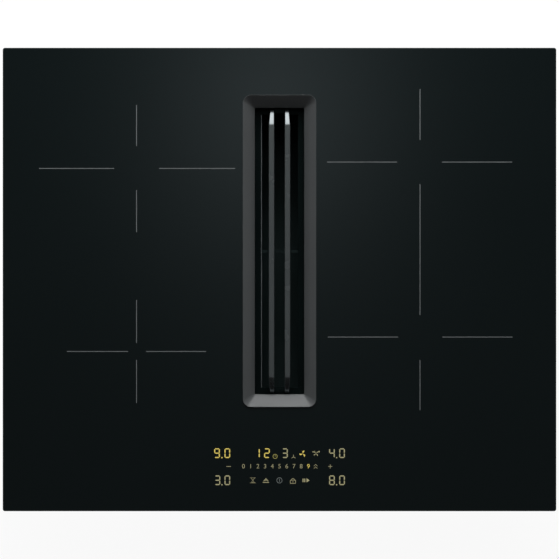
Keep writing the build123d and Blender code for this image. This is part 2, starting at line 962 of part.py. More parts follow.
# Spring clips hold the trough and the scroll up against the plate and the plenum
with BuildPart() as housing_clips:
    for along in clip_rows:
        left_edge = Plane(
            (plenum_left - flange_width, along + clip_width / 2, 0), x_dir=(1, 0, 0), z_dir=(0, -1, 0)
        )
        right_edge = Plane(
            (plenum_right + flange_width, along - clip_width / 2, 0),
            x_dir=(-1, 0, 0),
            z_dir=(0, 1, 0),
        )
        for edge in (left_edge, right_edge):
            extrude(grip(edge, plate_bottom - wall, plate_top + wall), amount=clip_width)
housing_clips.part.label = "housing_clips"
export_step(housing_clips.part, "parts/housing_clips.step")

# Steel brackets hang the fan unit from the casing: a tab above, a leg and a hook under the flange
with BuildPart() as hanger_brackets:
    rear_edge = plenum_rear + flange_width
    front_edge = plenum_front - flange_width
    hook_level = plate_bottom - wall
    for across in bracket_columns:
        for edge, inwards in ((rear_edge, -1), (front_edge, 1)):
            outer = edge - inwards * bracket_sheet
            with BuildSketch(Plane.YZ.offset(across - bracket_width / 2)):
                with BuildLine():
                    Polyline(
                        (edge, casing_bottom),
                        (outer - inwards * flange_width, casing_bottom),
                        (outer - inwards * flange_width, casing_bottom - bracket_sheet),
                        (outer, casing_bottom - bracket_sheet),
                        (outer, hook_level - bracket_sheet),
                        (edge + inwards * clip_reach, hook_level - bracket_sheet),
                        (edge + inwards * clip_reach, hook_level),
                        (edge, hook_level),
                        close=True,
                    )
                make_face()
            extrude(amount=bracket_width)
hanger_brackets.part.label = "hanger_brackets"
export_step(hanger_brackets.part, "parts/hanger_brackets.step")

# ---------------------------------------------------------------- fan unit: impeller and motor

def blade_plan(height):
    """Blades swept backwards: each tip trails its root as the wheel turns to the left."""
    leading = []
    trailing = []
    for step in range(blade_panels + 1):
        share = step / blade_panels
        radius = blade_root + share * (impeller_radius - blade_thickness - blade_root)
        turn = -radians(blade_sweep) * share ** blade_bend
        leading.append((radius * cos(turn), radius * sin(turn)))
        turn -= blade_thickness / radius
        trailing.append((radius * cos(turn), radius * sin(turn)))
    with BuildSketch() as blade:
        with BuildLine():
            Polyline(*leading, *reversed(trailing), close=True)
        make_face()
    with BuildSketch(Plane.XY.offset(height)) as blades:
        with Locations(fan):
            with PolarLocations(0, blade_count):
                add(blade.sketch)
    return blades.sketch


with BuildPart() as impeller:
    # back plate round the rotor can
    extrude(ring(impeller_radius, rotor_radius, back_plate, fan), amount=impeller_skin)
impeller.part.label = "impeller"
export_step(impeller.part, "parts/impeller.step")

with BuildPart() as impeller_blades:
    extrude(blade_plan(blade_bottom), amount=shroud_top - impeller_skin - blade_bottom)
impeller_blades.part.label = "impeller_blades"
export_step(impeller_blades.part, "parts/impeller_blades.step")

with BuildPart() as impeller_shroud:
    # ring with the eye, welded to the blades
    extrude(ring(impeller_radius, eye_radius, shroud_top, fan), amount=-impeller_skin)
impeller_shroud.part.label = "impeller_shroud"
export_step(impeller_shroud.part, "parts/impeller_shroud.step")

# Outer rotor: a can that turns round the stator, with the shaft pressed into its crown
with BuildPart() as motor_rotor:
    extrude(disc(rotor_radius, rotor_bottom, fan), amount=rotor_height)
    extrude(
        disc(rotor_radius - rotor_wall, rotor_bottom, fan),
        amount=rotor_height - rotor_wall,
        mode=Mode.SUBTRACT,
    )
    extrude(
        disc(shaft_radius, rotor_top - rotor_wall, fan),
        amount=motor_plate_top + air_gap - rotor_top + rotor_wall,
    )
motor_rotor.part.label = "motor_rotor"
export_step(motor_rotor.part, "parts/motor_rotor.step")

with BuildPart() as motor_stator:
    # wound teeth round the bearing tube, on a foot
    with BuildSketch(Plane.XY.offset(motor_base_top)):
        with Locations(fan):
            RegularPolygon(tube_radius, stator_teeth)
            with PolarLocations(stator_radius / 2, stator_teeth):
                Rectangle(stator_radius - air_gap, tooth_width)
    extrude(amount=stator_height)
    with BuildSketch(Plane.XY.offset(motor_plate_top)):
        with Locations(fan):
            RegularPolygon(stator_radius, stator_teeth)
    extrude(amount=motor_base_thickness)
    # running bore for the rotor's shaft
    extrude(
        disc(shaft_radius + shaft_clearance, motor_plate_top, fan),
        amount=motor_base_thickness + stator_height,
        mode=Mode.SUBTRACT,
    )
motor_stator.part.label = "motor_stator"
export_step(motor_stator.part, "parts/motor_stator.step")

with BuildPart() as motor_plate:
    # three-armed steel plate
    with BuildSketch(Plane.XY.offset(motor_plate_bottom)):
        with Locations(fan):
            RegularPolygon(motor_plate_radius, 2 * mount_count)
    extrude(amount=motor_plate_thickness)
motor_plate.part.label = "motor_plate"
export_step(motor_plate.part, "parts/motor_plate.step")

with BuildPart() as motor_buffers:
    with BuildSketch(Plane.XY.offset(unit_floor)):
        with Locations(fan):
            with PolarLocations(mount_circle_radius, mount_count):
                RegularPolygon(buffer_radius, 8)
    extrude(amount=buffer_height)
motor_buffers.part.label = "motor_buffers"
export_step(motor_buffers.part, "parts/motor_buffers.step")

with BuildPart() as motor_nuts:
    with BuildSketch(Plane.XY.offset(motor_plate_top)):
        with Locations(fan):
            with PolarLocations(mount_circle_radius, mount_count):
                RegularPolygon(nut_radius, 6)
    extrude(amount=nut_height)
motor_nuts.part.label = "motor_nuts"
export_step(motor_nuts.part, "parts/motor_nuts.step")

with BuildPart() as fan_box:
    fan_box_at = (fan_box_across, fan_box_along)
    extrude(block(fan_box_width, fan_box_length, casing_bottom, fan_box_at), amount=-fan_box_height)
    extrude(
        block(
            fan_box_width - 2 * fan_box_wall,
            fan_box_length - 2 * fan_box_wall,
            casing_bottom,
            fan_box_at,
        ),
        amount=fan_box_wall - fan_box_height,
        mode=Mode.SUBTRACT,
    )
fan_box.part.label = "fan_control_box"
export_step(fan_box.part, "parts/fan_control_box.step")

with BuildPart() as fan_board:
    fan_board_bottom = casing_bottom - fan_box_height + fan_box_wall + standoff
    fan_board_width = fan_box_width - 2 * standoff - 2 * fan_box_wall
    fan_board_length = fan_box_length - 2 * standoff - 2 * fan_box_wall
    extrude(
        block(
            fan_board_width,
            fan_board_length,
            fan_board_bottom,
            (fan_box_across, fan_box_along),
        ),
        amount=board_thickness,
    )
    corner_x = fan_board_width / 2 - standoff
    corner_y = fan_board_length / 2 - standoff
    for x in (-corner_x, corner_x):
        for y in (-corner_y, corner_y):
            extrude(
                block(
                    2 * standoff_radius,
                    2 * standoff_radius,
                    fan_board_bottom,
                    (fan_box_across + x, fan_box_along + y),
                ),
                amount=-standoff,
            )
    extrude(
        block(
            2 * relay_size,
            relay_size,
            fan_board_bottom + board_thickness,
            (fan_box_across, fan_box_along),
        ),
        amount=relay_height,
    )
fan_board.part.label = "fan_control_board"
export_step(fan_board.part, "parts/fan_control_board.step")

# ---------------------------------------------------------------- induction coils

coils = [
    ((-coil_left, coil_left_rear), 2 * coil_rear_radius, 2 * coil_rear_radius),
    ((-coil_left, -coil_left_front), 2 * coil_front_radius, 2 * coil_front_radius),
    ((coil_right, coil_right_rear), coil_oval_width, coil_oval_length),
    ((coil_right, -coil_right_front), coil_oval_width, coil_oval_length),
]

with BuildPart() as coil_windings:
    for place, width, length in coils:
        with BuildSketch(Plane.XY.offset(coil_bottom)):
            with Locations(place):
                if width == length:
                    Circle(width / 2)
                else:
                    RectangleRounded(width, length, coil_oval_corner)
                RegularPolygon(coil_bore, 8, mode=Mode.SUBTRACT)
        extrude(amount=coil_thickness)
coil_windings.part.label = "coil_windings"
export_step(coil_windings.part, "parts/coil_windings.step")

with BuildPart() as coil_carriers:
    for place, width, length in coils:
        with BuildSketch(Plane.XY.offset(carrier_bottom)) as carrier:
            with Locations(place):
                Rectangle(width + 2 * carrier_margin, length + 2 * carrier_margin)
            cut = (min(width, length) + 2 * carrier_margin) / (2 + sqrt(2))
            chamfer(carrier.vertices(), length=cut)
            with Locations(place):
                RegularPolygon(coil_bore, 8, mode=Mode.SUBTRACT)
        extrude(amount=carrier_thickness)
coil_carriers.part.label = "coil_carriers"
export_step(coil_carriers.part, "parts/coil_carriers.step")

with BuildPart() as ferrite_bars:
    for place, width, length in coils:
        with BuildSketch(Plane.XY.offset(coil_plate_top)):
            with Locations(place):
                with PolarLocations(coil_bore + ferrite_width / 2 + ferrite_length / 2, ferrite_count):
                    Rectangle(ferrite_length, ferrite_width)
        extrude(amount=ferrite_height)
ferrite_bars.part.label = "ferrite_bars"
export_step(ferrite_bars.part, "parts/ferrite_bars.step")

with BuildPart() as insulation_sheets:
    for place, width, length in coils:
        extrude(
            block(width + 2 * mica_margin, length + 2 * mica_margin, coil_top, place),
            amount=mica_thickness,
        )
insulation_sheets.part.label = "insulation_sheets"
export_step(insulation_sheets.part, "parts/insulation_sheets.step")

with BuildPart() as coil_sensors:
    for place, width, length in coils:
        extrude(
            block(sensor_size, sensor_size, coil_plate_top, place),
            amount=coil_top - coil_plate_top,
        )
coil_sensors.part.label = "coil_sensors"
export_step(coil_sensors.part, "parts/coil_sensors.step")

for name, side in (("left", -1), ("right", 1)):
    plate_width = coil_plate_outer - coil_plate_inner
    plate_length = coil_plate_rear + coil_plate_front
    plate_at = (
        side * (coil_plate_outer + coil_plate_inner) / 2,
        (coil_plate_rear - coil_plate_front) / 2,
    )
    with BuildPart() as coil_plate:
        extrude(
            block(plate_width, plate_length, coil_plate_bottom, plate_at),
            amount=coil_plate_thickness,
        )
    coil_plate.part.label = f"coil_plate_{name}"
    export_step(coil_plate.part, f"parts/coil_plate_{name}.step")

with BuildPart() as plate_posts:
    for side in (-1, 1):
        for x in (coil_plate_inner + post_inset, coil_plate_outer - post_inset):
            for y in (post_inset - coil_plate_front, coil_plate_rear - post_inset):
                extrude(
                    block(post_size, post_size, casing_floor, (side * x, y)),
                    amount=coil_plate_bottom - casing_floor,
                )
plate_posts.part.label = "plate_posts"
export_step(plate_posts.part, "parts/plate_posts.step")

# ---------------------------------------------------------------- electronics

for name, side in (("left", -1), ("right", 1)):
    board_at = (side * board_across, board_along)
    with BuildPart() as power_board:
        extrude(block(board_width, board_length, board_bottom, board_at), amount=board_thickness)
        # spacers up from the casing floor
        with BuildSketch(Plane.XY.offset(casing_floor)):
            with Locations(board_at):
                with GridLocations(
                    board_width - 2 * stud_inset, board_length - 2 * stud_inset, 2, 2
                ):
                    Rectangle(2 * standoff_radius, 2 * standoff_radius)
        extrude(amount=standoff)
    power_board.part.label = f"power_board_{name}"
    export_step(power_board.part, f"parts/power_board_{name}.step")

    # extruded heat sink: a comb profile drawn out along the air flow
    sink_across = side * (board_across + sink_shift)
    with BuildPart() as heat_sink:
        with BuildSketch(Plane.XZ.offset(-board_along - sink_length / 2)):
            with Locations((sink_across, board_top + sink_base / 2)):
                Rectangle(sink_width, sink_base)
            with Locations((sink_across, board_top + sink_height / 2)):
                with GridLocations((sink_width - fin_thickness) / (sink_fins - 1), 0, sink_fins, 1):
                    Rectangle(fin_thickness, sink_height)
        extrude(amount=sink_length)
    heat_sink.part.label = f"heat_sink_{name}"
    export_step(heat_sink.part, f"parts/heat_sink_{name}.step")

# Capacitor and relays in a row on each board
with BuildPart() as power_parts:
    for side in (-1, 1):
        parts_across = side * (board_across - parts_shift)
        capacitor_at = (parts_across, board_along - 2 * parts_pitch)
        extrude(disc(capacitor_radius, board_top, capacitor_at), amount=capacitor_height)
        for step in (-1, 0, 1, 2):
            relay_at = (parts_across, board_along + step * parts_pitch)
            extrude(block(relay_size, relay_size, board_top, relay_at), amount=relay_height)
power_parts.part.label = "power_parts"
export_step(power_parts.part, "parts/power_parts.step")

# Two axial fans draw air through the casing floor: their frames, each with a bar and a pin
with BuildPart() as cooling_fan_frames:
    for side in (-1, 1):
        blower_at = (side * board_across, -blower_along)
        extrude(block(blower_size, blower_size, casing_floor, blower_at), amount=blower_height)
        extrude(
            disc(blower_radius + blower_room, casing_floor, blower_at),
            amount=blower_height,
            mode=Mode.SUBTRACT,
        )
        extrude(
            block(blower_size - 2 * blower_wall, blower_spoke, casing_floor, blower_at),
            amount=blower_wall,
        )
        extrude(disc(blower_pin, casing_floor, blower_at), amount=blower_height - blower_wall)
cooling_fan_frames.part.label = "cooling_fan_frames"
export_step(cooling_fan_frames.part, "parts/cooling_fan_frames.step")

for name, side in (("left", -1), ("right", 1)):
    blower_at = (side * board_across, -blower_along)
    rotor_level = casing_floor + 2 * blower_wall
    blade_level = casing_floor + (blower_height + blower_wall) / 2
    with BuildPart() as cooling_fan_rotor:
        # many-sided hub with one pitched blade on each side
        with BuildSketch(Plane.XY.offset(rotor_level)):
            with Locations(blower_at):
                RegularPolygon(blower_hub, blower_blades, major_radius=False)
        extrude(amount=blower_height - 3 * blower_wall)
        for number in range(blower_blades):
            turn = 2 * pi * (number + 0.5) / blower_blades
            outwards = Vector(cos(turn), sin(turn), 0)
            sideways = Vector(-sin(turn), cos(turn), 0)
            foot = Vector(*blower_at, blade_level) + outwards * blower_hub
            with BuildSketch(Plane(foot, x_dir=sideways, z_dir=outwards)):
                Rectangle(blower_chord, blower_blade_thickness, rotation=blower_pitch)
            extrude(amount=blower_radius - blower_hub)
        extrude(
            disc(blower_pin + shaft_clearance, rotor_level, blower_at),
            amount=blower_height - 3 * blower_wall,
            mode=Mode.SUBTRACT,
        )
    cooling_fan_rotor.part.label = f"cooling_fan_rotor_{name}"
    export_step(cooling_fan_rotor.part, f"parts/cooling_fan_rotor_{name}.step")

# Touch panel below the glass, in front of the slot
panel_at = (0, -panel_along)
with BuildPart() as panel_carrier:
    extrude(block(panel_width, panel_depth, panel_bottom, panel_at), amount=panel_height)
    extrude(
        block(
            panel_width - 2 * panel_wall,
            panel_depth - 2 * panel_wall,
            panel_bottom + panel_wall,
            panel_at,
        ),
        amount=panel_height - panel_wall,
        mode=Mode.SUBTRACT,
    )
    leg_x = panel_width / 2 - panel_leg
    leg_y = panel_depth / 2 - panel_leg
    for x in (-leg_x, leg_x):
        for y in (-leg_y, leg_y):
            extrude(
                block(panel_leg, panel_leg, panel_bottom, (x, y - panel_along)),
                amount=casing_floor - panel_bottom,
            )
panel_carrier.part.label = "panel_carrier"
export_step(panel_carrier.part, "parts/panel_carrier.step")

panel_board_bottom = panel_bottom + panel_wall
with BuildPart() as panel_board:
    extrude(
        block(
            panel_width - 2 * panel_wall - 2 * panel_leg,
            panel_depth - 2 * panel_wall - 2 * lift_gap,
            panel_board_bottom,
            panel_at,
        ),
        amount=board_thickness,
    )
panel_board.part.label = "panel_board"
export_step(panel_board.part, "parts/panel_board.step")

display_bottom = panel_board_bottom + board_thickness
with BuildPart() as digit_displays:
    for x in (-digit_across / 2, digit_across / 2):
        for y in (-digit_rows / 2, digit_rows / 2):
            extrude(
                block(digit_width, digit_depth, display_bottom, (x, y - panel_along)),
                amount=glass_bottom - display_bottom,
            )
    extrude(
        block(digit_middle, digit_depth, display_bottom, (0, digit_rows / 2 - panel_along)),
        amount=glass_bottom - display_bottom,
    )
digit_displays.part.label = "digit_displays"
export_step(digit_displays.part, "parts/digit_displays.step")

with BuildPart() as touch_pads:
    with BuildSketch(Plane.XY.offset(display_bottom)):
        with Locations(panel_at):
            with GridLocations(pad_pitch, 0, pad_count, 1):
                Rectangle(pad_size, pad_size)
        with Locations((0, -panel_along - digit_rows / 2)):
            with GridLocations(2 * pad_pitch, 0, pad_lower_count, 1):
                Rectangle(pad_size, pad_size)
    extrude(amount=glass_bottom - display_bottom)
touch_pads.part.label = "touch_pads"
export_step(touch_pads.part, "parts/touch_pads.step")

# Mains entry: gland in the rear wall, terminal block with its cover, and the filter board
with BuildPart() as cable_gland:
    with BuildSketch(Plane.XZ.offset(-casing_depth / 2)):
        with Locations((-terminal_across, casing_floor + gland_drop)):
            RegularPolygon(gland_nut, 6)
    extrude(amount=-gland_length)
    with BuildSketch(Plane.XZ.offset(-casing_depth / 2)):
        with Locations((-terminal_across, casing_floor + gland_drop)):
            Rectangle(gland_neck, gland_neck)
    extrude(amount=sheet)
    with BuildSketch(Plane.XZ.offset(sheet - casing_depth / 2)):
        with Locations((-terminal_across, casing_floor + gland_drop)):
            RegularPolygon(gland_nut, 6)
    extrude(amount=gland_nut_height)
    with BuildSketch(Plane.XZ.offset(-casing_depth / 2 - gland_length)):
        with Locations((-terminal_across, casing_floor + gland_drop)):
            Circle(gland_bore)
    extrude(amount=gland_length + sheet + gland_nut_height, mode=Mode.SUBTRACT)
cable_gland.part.label = "cable_gland"
export_step(cable_gland.part, "parts/cable_gland.step")

terminal_at = (-terminal_across, terminal_along)
with BuildPart() as terminal_block:
    extrude(
        block(terminal_width, terminal_depth, casing_floor, terminal_at),
        amount=terminal_height,
    )
    # wire funnels on the side of the gland
    with BuildSketch(Plane.XZ.offset(-terminal_along - terminal_depth / 2)):
        with Locations((-terminal_across, casing_floor + terminal_height / 2)):
            with GridLocations(terminal_pitch, 0, terminal_ways, 1):
                Rectangle(terminal_hole, terminal_hole)
    extrude(amount=terminal_hole, mode=Mode.SUBTRACT)
terminal_block.part.label = "terminal_block"
export_step(terminal_block.part, "parts/terminal_block.step")

with BuildPart() as terminal_cover:
    extrude(
        block(
            terminal_width + 2 * sheet,
            terminal_depth,
            casing_floor + terminal_height,
            terminal_at,
        ),
        amount=terminal_cover_height,
    )
    chamfer(terminal_cover.faces().sort_by(Axis.Z)[-1].edges(), length=2 * sheet)
terminal_cover.part.label = "terminal_cover"
export_step(terminal_cover.part, "parts/terminal_cover.step")

filter_at = (filter_across, filter_along)
with BuildPart() as mains_filter:
    extrude(block(filter_width, filter_depth, board_bottom, filter_at), amount=board_thickness)
    for end in (-1, 1):
        foot_at = (filter_across + end * (filter_width / 2 - standoff), filter_along)
        extrude(block(2 * standoff_radius, filter_depth, board_bottom, foot_at), amount=-standoff)
mains_filter.part.label = "mains_filter_board"
export_step(mains_filter.part, "parts/mains_filter_board.step")

with BuildPart() as filter_parts:
    choke_at = (filter_across - parts_pitch, filter_along)
    extrude(block(choke_size, choke_size, board_top, choke_at), amount=choke_size)
    extrude(
        block(choke_size + choke_core, choke_core, board_top + choke_core, choke_at),
        amount=choke_core,
    )
    for step in (0, 1):
        capacitor_at = (filter_across + step * parts_pitch, filter_along)
        extrude(block(relay_size, choke_core, board_top, capacitor_at), amount=relay_height)
filter_parts.part.label = "mains_filter_parts"
export_step(filter_parts.part, "parts/mains_filter_parts.step")
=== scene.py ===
from math import asin, cos, pi, radians, sin

import bmesh
import bpy
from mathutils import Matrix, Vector


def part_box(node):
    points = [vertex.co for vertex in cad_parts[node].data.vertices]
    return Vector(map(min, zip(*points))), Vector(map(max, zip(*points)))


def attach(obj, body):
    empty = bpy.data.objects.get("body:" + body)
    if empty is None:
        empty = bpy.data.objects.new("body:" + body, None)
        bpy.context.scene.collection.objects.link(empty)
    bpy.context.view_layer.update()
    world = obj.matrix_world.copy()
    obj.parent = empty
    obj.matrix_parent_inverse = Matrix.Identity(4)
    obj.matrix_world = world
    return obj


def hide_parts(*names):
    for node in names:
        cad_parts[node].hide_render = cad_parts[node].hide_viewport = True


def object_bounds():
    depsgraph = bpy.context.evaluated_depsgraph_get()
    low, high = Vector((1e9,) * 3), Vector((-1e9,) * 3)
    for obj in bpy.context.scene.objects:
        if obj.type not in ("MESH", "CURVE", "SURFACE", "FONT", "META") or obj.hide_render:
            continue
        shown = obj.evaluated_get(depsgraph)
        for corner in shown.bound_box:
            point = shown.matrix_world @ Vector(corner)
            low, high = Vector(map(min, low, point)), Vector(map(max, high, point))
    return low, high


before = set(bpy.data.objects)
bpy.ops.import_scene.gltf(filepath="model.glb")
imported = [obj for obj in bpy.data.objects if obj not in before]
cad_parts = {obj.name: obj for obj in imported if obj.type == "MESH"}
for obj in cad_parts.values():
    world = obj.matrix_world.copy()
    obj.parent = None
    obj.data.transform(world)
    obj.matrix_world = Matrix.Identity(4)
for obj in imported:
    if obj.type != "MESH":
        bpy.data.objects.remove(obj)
cad_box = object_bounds()

MM = 0.001
STEPS = 12  # points in a quarter-round corner

# ---------------------------------------------------------------- sizes, read from the frame

glass_low, glass_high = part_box("glass_plate")
bezel_low, bezel_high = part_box("slot_bezel")
grille_low, grille_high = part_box("intake_grille")
basket_low, basket_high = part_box("filter_basket")
casing_low, casing_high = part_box("casing")
floor_level = cad_box[0][2]

GLASS_TOP = glass_high.z
SLOT_Y = (bezel_low.y + bezel_high.y) / 2

# the photograph's frame: its middle pixel and the real size of a pixel on the glass
PIXEL = 1.109 * MM
MIDDLE_X = 279.47
MIDDLE_Y = 279.45
FRAME_PIXELS = 559


def place(px, py):
    """The point on the glass seen at this pixel of the photograph."""
    return (px - MIDDLE_X) * PIXEL, (MIDDLE_Y - py) * PIXEL


# ---------------------------------------------------------------- materials

RANGE_START, RANGE_STOP = 0.3, 0.7  # most of a noise texture's values lie between these
CLOUDS = 14  # scale of the faint clouds in a coat of paint
SMEARS = 60  # scale of the patches in its roughness


def calculated(tree, operation, first, second=None):
    """A calculation in a node tree, on sockets or plain numbers."""
    made = tree.nodes.new("ShaderNodeMath")
    made.operation = operation
    for socket, value in zip(made.inputs, (first, second)):
        if value is None:
            continue
        if isinstance(value, (int, float)):
            socket.default_value = value
        else:
            tree.links.new(value, socket)
    return made.outputs[0]


def mapped(tree, source, start, stop, low, high):
    """The source's range start ... stop mapped to low ... high, and kept within it."""
    made = tree.nodes.new("ShaderNodeMapRange")
    for socket, value in (
        ("From Min", start), ("From Max", stop), ("To Min", low), ("To Max", high)
    ):
        made.inputs[socket].default_value = value
    tree.links.new(source, made.inputs["Value"])
    return made.outputs["Result"]


class Shader:
    """A Principled material whose colour, roughness and relief come from procedural textures."""

    def __init__(self, name, **sockets):
        self.material = bpy.data.materials.new(name)
        self.material.use_nodes = True
        self.tree = self.material.node_tree
        self.bsdf = self.tree.nodes["Principled BSDF"]
        for socket, value in sockets.items():
            self.bsdf.inputs[socket.replace("_", " ")].default_value = value
        self.coordinates = self.tree.nodes.new("ShaderNodeTexCoord").outputs["Object"]

    def node(self, kind):
        return self.tree.nodes.new(kind)

    def link(self, source, target):
        self.tree.links.new(source, target)

    def stretched(self, scale):
        """Object coordinates scaled along each axis."""
        mapping = self.node("ShaderNodeMapping")
        mapping.inputs["Scale"].default_value = scale
        self.link(self.coordinates, mapping.inputs["Vector"])
        return mapping.outputs["Vector"]

    def noise(self, scale, detail=4.0, stretch=None):
        texture = self.node("ShaderNodeTexNoise")
        texture.inputs["Scale"].default_value = scale
        texture.inputs["Detail"].default_value = detail
        vector = self.coordinates if stretch is None else self.stretched(stretch)
        self.link(vector, texture.inputs["Vector"])
        return texture.outputs["Fac"]

    def cells(self, scale, output="Distance"):
        texture = self.node("ShaderNodeTexVoronoi")
        texture.inputs["Scale"].default_value = scale
        self.link(self.coordinates, texture.inputs["Vector"])
        return texture.outputs[output]

    def spread(self, source, low, high):
        """The source's middle range mapped to low ... high."""
        return mapped(self.tree, source, RANGE_START, RANGE_STOP, low, high)

    def position(self, axis):
        """The object coordinate along an axis."""
        parts = self.node("ShaderNodeSeparateXYZ")
        self.link(self.coordinates, parts.inputs[0])
        return parts.outputs[axis]

    def colours(self, source, *stops):
        ramp = self.node("ShaderNodeValToRGB")
        elements = ramp.color_ramp.elements
        while len(elements) < len(stops):
            elements.new(0.5)
        for element, (position, colour) in zip(elements, stops):
            element.position = position
            element.color = (*colour, 1)
        self.link(source, ramp.inputs["Fac"])
        self.link(ramp.outputs["Color"], self.bsdf.inputs["Base Color"])
        return ramp.outputs["Color"]

    def two_tones(self, choice, first, second, amount):
        """Clouds in the first colour, or in the second where the choice is 1."""
        clouds = self.spread(self.noise(CLOUDS), 0, 0.1)
        (_, first_dark), (_, first_light) = shades(first, amount)
        (_, second_dark), (_, second_light) = shades(second, amount)
        rest = calculated(self.tree, "SUBTRACT", choice, clouds)
        self.colours(
            calculated(self.tree, "MAXIMUM", clouds, rest),
            (0, first_dark), (0.1, first_light), (0.9, second_light), (1, second_dark),
        )

    def roughness(self, source, low, high):
        self.link(self.spread(source, low, high), self.bsdf.inputs["Roughness"])

    def relief(self, source, strength, depth, before=None):
        bump = self.node("ShaderNodeBump")
        bump.inputs["Strength"].default_value = strength
        bump.inputs["Distance"].default_value = depth
        self.link(source, bump.inputs["Height"])
        if before is not None:
            self.link(before, bump.inputs["Normal"])
        self.link(bump.outputs["Normal"], self.bsdf.inputs["Normal"])
        return bump.outputs["Normal"]


def shades(colour, amount):
    """Two stops of one colour, a little darker and a little lighter."""
    darker = tuple(channel * (1 - amount) for channel in colour)
    lighter = tuple(min(1, channel * (1 + amount)) for channel in colour)
    return (RANGE_START, darker), (RANGE_STOP, lighter)


def coated(name, colour, low, high, grain=900, depth=0.02 * MM, amount=0.12, **sockets):
    """Paint or enamel: faint clouds in the colour, a fine orange-peel relief."""
    shader = Shader(name, **sockets)
    shader.colours(shader.noise(CLOUDS), *shades(colour, amount))
    shader.roughness(shader.noise(SMEARS), low, high)
    shader.relief(shader.noise(grain, 2), 0.5, depth)
    return shader.material


def two_blacks(name, level, below, above):
    """Dull black plastic, painted lighter below a level to make up for the shade that falls
    there.
    """
    shader = Shader(name, Specular_IOR_Level=0.02)
    upper = calculated(shader.tree, "GREATER_THAN", shader.position("Z"), level)
    shader.two_tones(upper, below, above, 0.15)
    shader.roughness(shader.noise(SMEARS), 0.5, 0.6)
    shader.relief(shader.noise(900, 2), 0.5, 0.02 * MM)
    return shader.material


def satin_bars(name, middle, flat_half, satin, smooth):
    """Bars along y: satin paint on the flat tops, smoother bare metal where the ends slope."""
    shader = Shader(name)
    offset = calculated(shader.tree, "SUBTRACT", shader.position("Y"), middle)
    distance = calculated(shader.tree, "ABSOLUTE", offset)
    sloped = calculated(shader.tree, "GREATER_THAN", distance, flat_half)
    shader.two_tones(sloped, satin, smooth, 0.05)
    shader.link(sloped, shader.bsdf.inputs["Metallic"])
    shader.roughness(shader.noise(SMEARS), 0.25, 0.28)
    shader.relief(shader.noise(2400, 2), 0.5, 0.002 * MM)
    return shader.material


def moulded(name, colour, low=0.5, high=0.62, amount=0.15):
    """Moulded plastic: a spark-eroded texture with flow clouds."""
    shader = Shader(name)
    shader.colours(shader.noise(9), *shades(colour, amount))
    shader.roughness(shader.noise(240), low, high)
    fine = shader.relief(shader.noise(2600, 3), 0.35, 0.05 * MM)
    shader.relief(shader.noise(16, 2), 0.15, 0.3 * MM, before=fine)
    return shader.material


def brushed(name, colour, stretch, low=0.28, high=0.45, metallic=1.0):
    """Brushed or rolled metal: fine lines along one axis."""
    shader = Shader(name, Metallic=metallic)
    lines = shader.noise(1.0, 6, stretch)
    shader.colours(lines, *shades(colour, 0.14))
    shader.roughness(lines, low, high)
    shader.relief(lines, 0.25, 0.02 * MM)
    return shader.material


def galvanised(name):
    """Zinc-coated sheet: flat crystals of slightly different brightness."""
    shader = Shader(name, Metallic=0.9)
    crystals = shader.cells(150, output="Color")
    grey = shader.node("ShaderNodeRGBToBW")
    shader.link(crystals, grey.inputs["Color"])
    shader.colours(grey.outputs["Val"], (0.2, (0.39, 0.4, 0.41)), (0.8, (0.48, 0.49, 0.5)))
    shader.roughness(grey.outputs["Val"], 0.34, 0.5)
    shader.relief(shader.noise(500, 3), 0.2, 0.02 * MM)
    return shader.material


def glass_ceramic(name):
    """Black glass-ceramic: almost mirror-smooth, with the faintest mottle and wipe marks."""
    shader = Shader(name, IOR=1.5)
    shader.colours(
        shader.noise(4), (0.3, (0.0042, 0.0084, 0.0090)), (0.7, (0.0048, 0.0093, 0.0100))
    )
    shader.roughness(shader.noise(1.0, 3, (3, 40, 3)), 0.035, 0.06)
    shader.relief(shader.noise(35, 2), 0.04, 0.02 * MM)
    return shader.material


def printed(name, colour):
    """Screen-printed ceramic ink: a matt film of fine dots."""
    shader = Shader(name, Roughness=0.5)
    shader.colours(shader.cells(2400), *shades(colour, 0.18))
    shader.roughness(shader.noise(300), 0.4, 0.6)
    shader.relief(shader.cells(2400), 0.2, 0.01 * MM)
    return shader.material


def lit(name, colour):
    """A lit segment behind the glass: light that is a little uneven across the film."""
    shader = Shader(name, Roughness=0.3)
    shader.colours(shader.noise(700), *shades((0.012, 0.014, 0.012), 0.1))
    ramp = shader.node("ShaderNodeValToRGB")
    for element, (position, tone) in zip(ramp.color_ramp.elements, shades(colour, 0.12)):
        element.position = position
        element.color = (*tone, 1)
    shader.link(shader.noise(420), ramp.inputs["Fac"])
    shader.link(ramp.outputs["Color"], shader.bsdf.inputs["Emission Color"])
    shader.bsdf.inputs["Emission Strength"].default_value = 1
    return shader.material


def circuit_board(name):
    """Green solder resist over copper tracks."""
    shader = Shader(name)
    tracks = shader.node("ShaderNodeTexBrick")
    tracks.inputs["Scale"].default_value = 90
    tracks.inputs["Mortar Size"].default_value = 0.012
    tracks.inputs["Color1"].default_value = (0.012, 0.085, 0.035, 1)
    tracks.inputs["Color2"].default_value = (0.016, 0.11, 0.045, 1)
    tracks.inputs["Mortar"].default_value = (0.04, 0.22, 0.09, 1)
    shader.link(shader.coordinates, tracks.inputs["Vector"])
    shader.link(tracks.outputs["Color"], shader.bsdf.inputs["Base Color"])
    shader.roughness(shader.noise(80), 0.25, 0.4)
    shader.relief(tracks.outputs["Fac"], 0.3, 0.05 * MM)
    return shader.material


def wound_copper(name):
    """Enamelled copper wire: fine ridges."""
    shader = Shader(name, Metallic=0.8)
    ridges = shader.noise(1.0, 2, (700, 700, 40))
    shader.colours(ridges, *shades((0.5, 0.2, 0.08), 0.3))
    shader.roughness(ridges, 0.25, 0.4)
    shader.relief(ridges, 0.6, 0.2 * MM)
    return shader.material


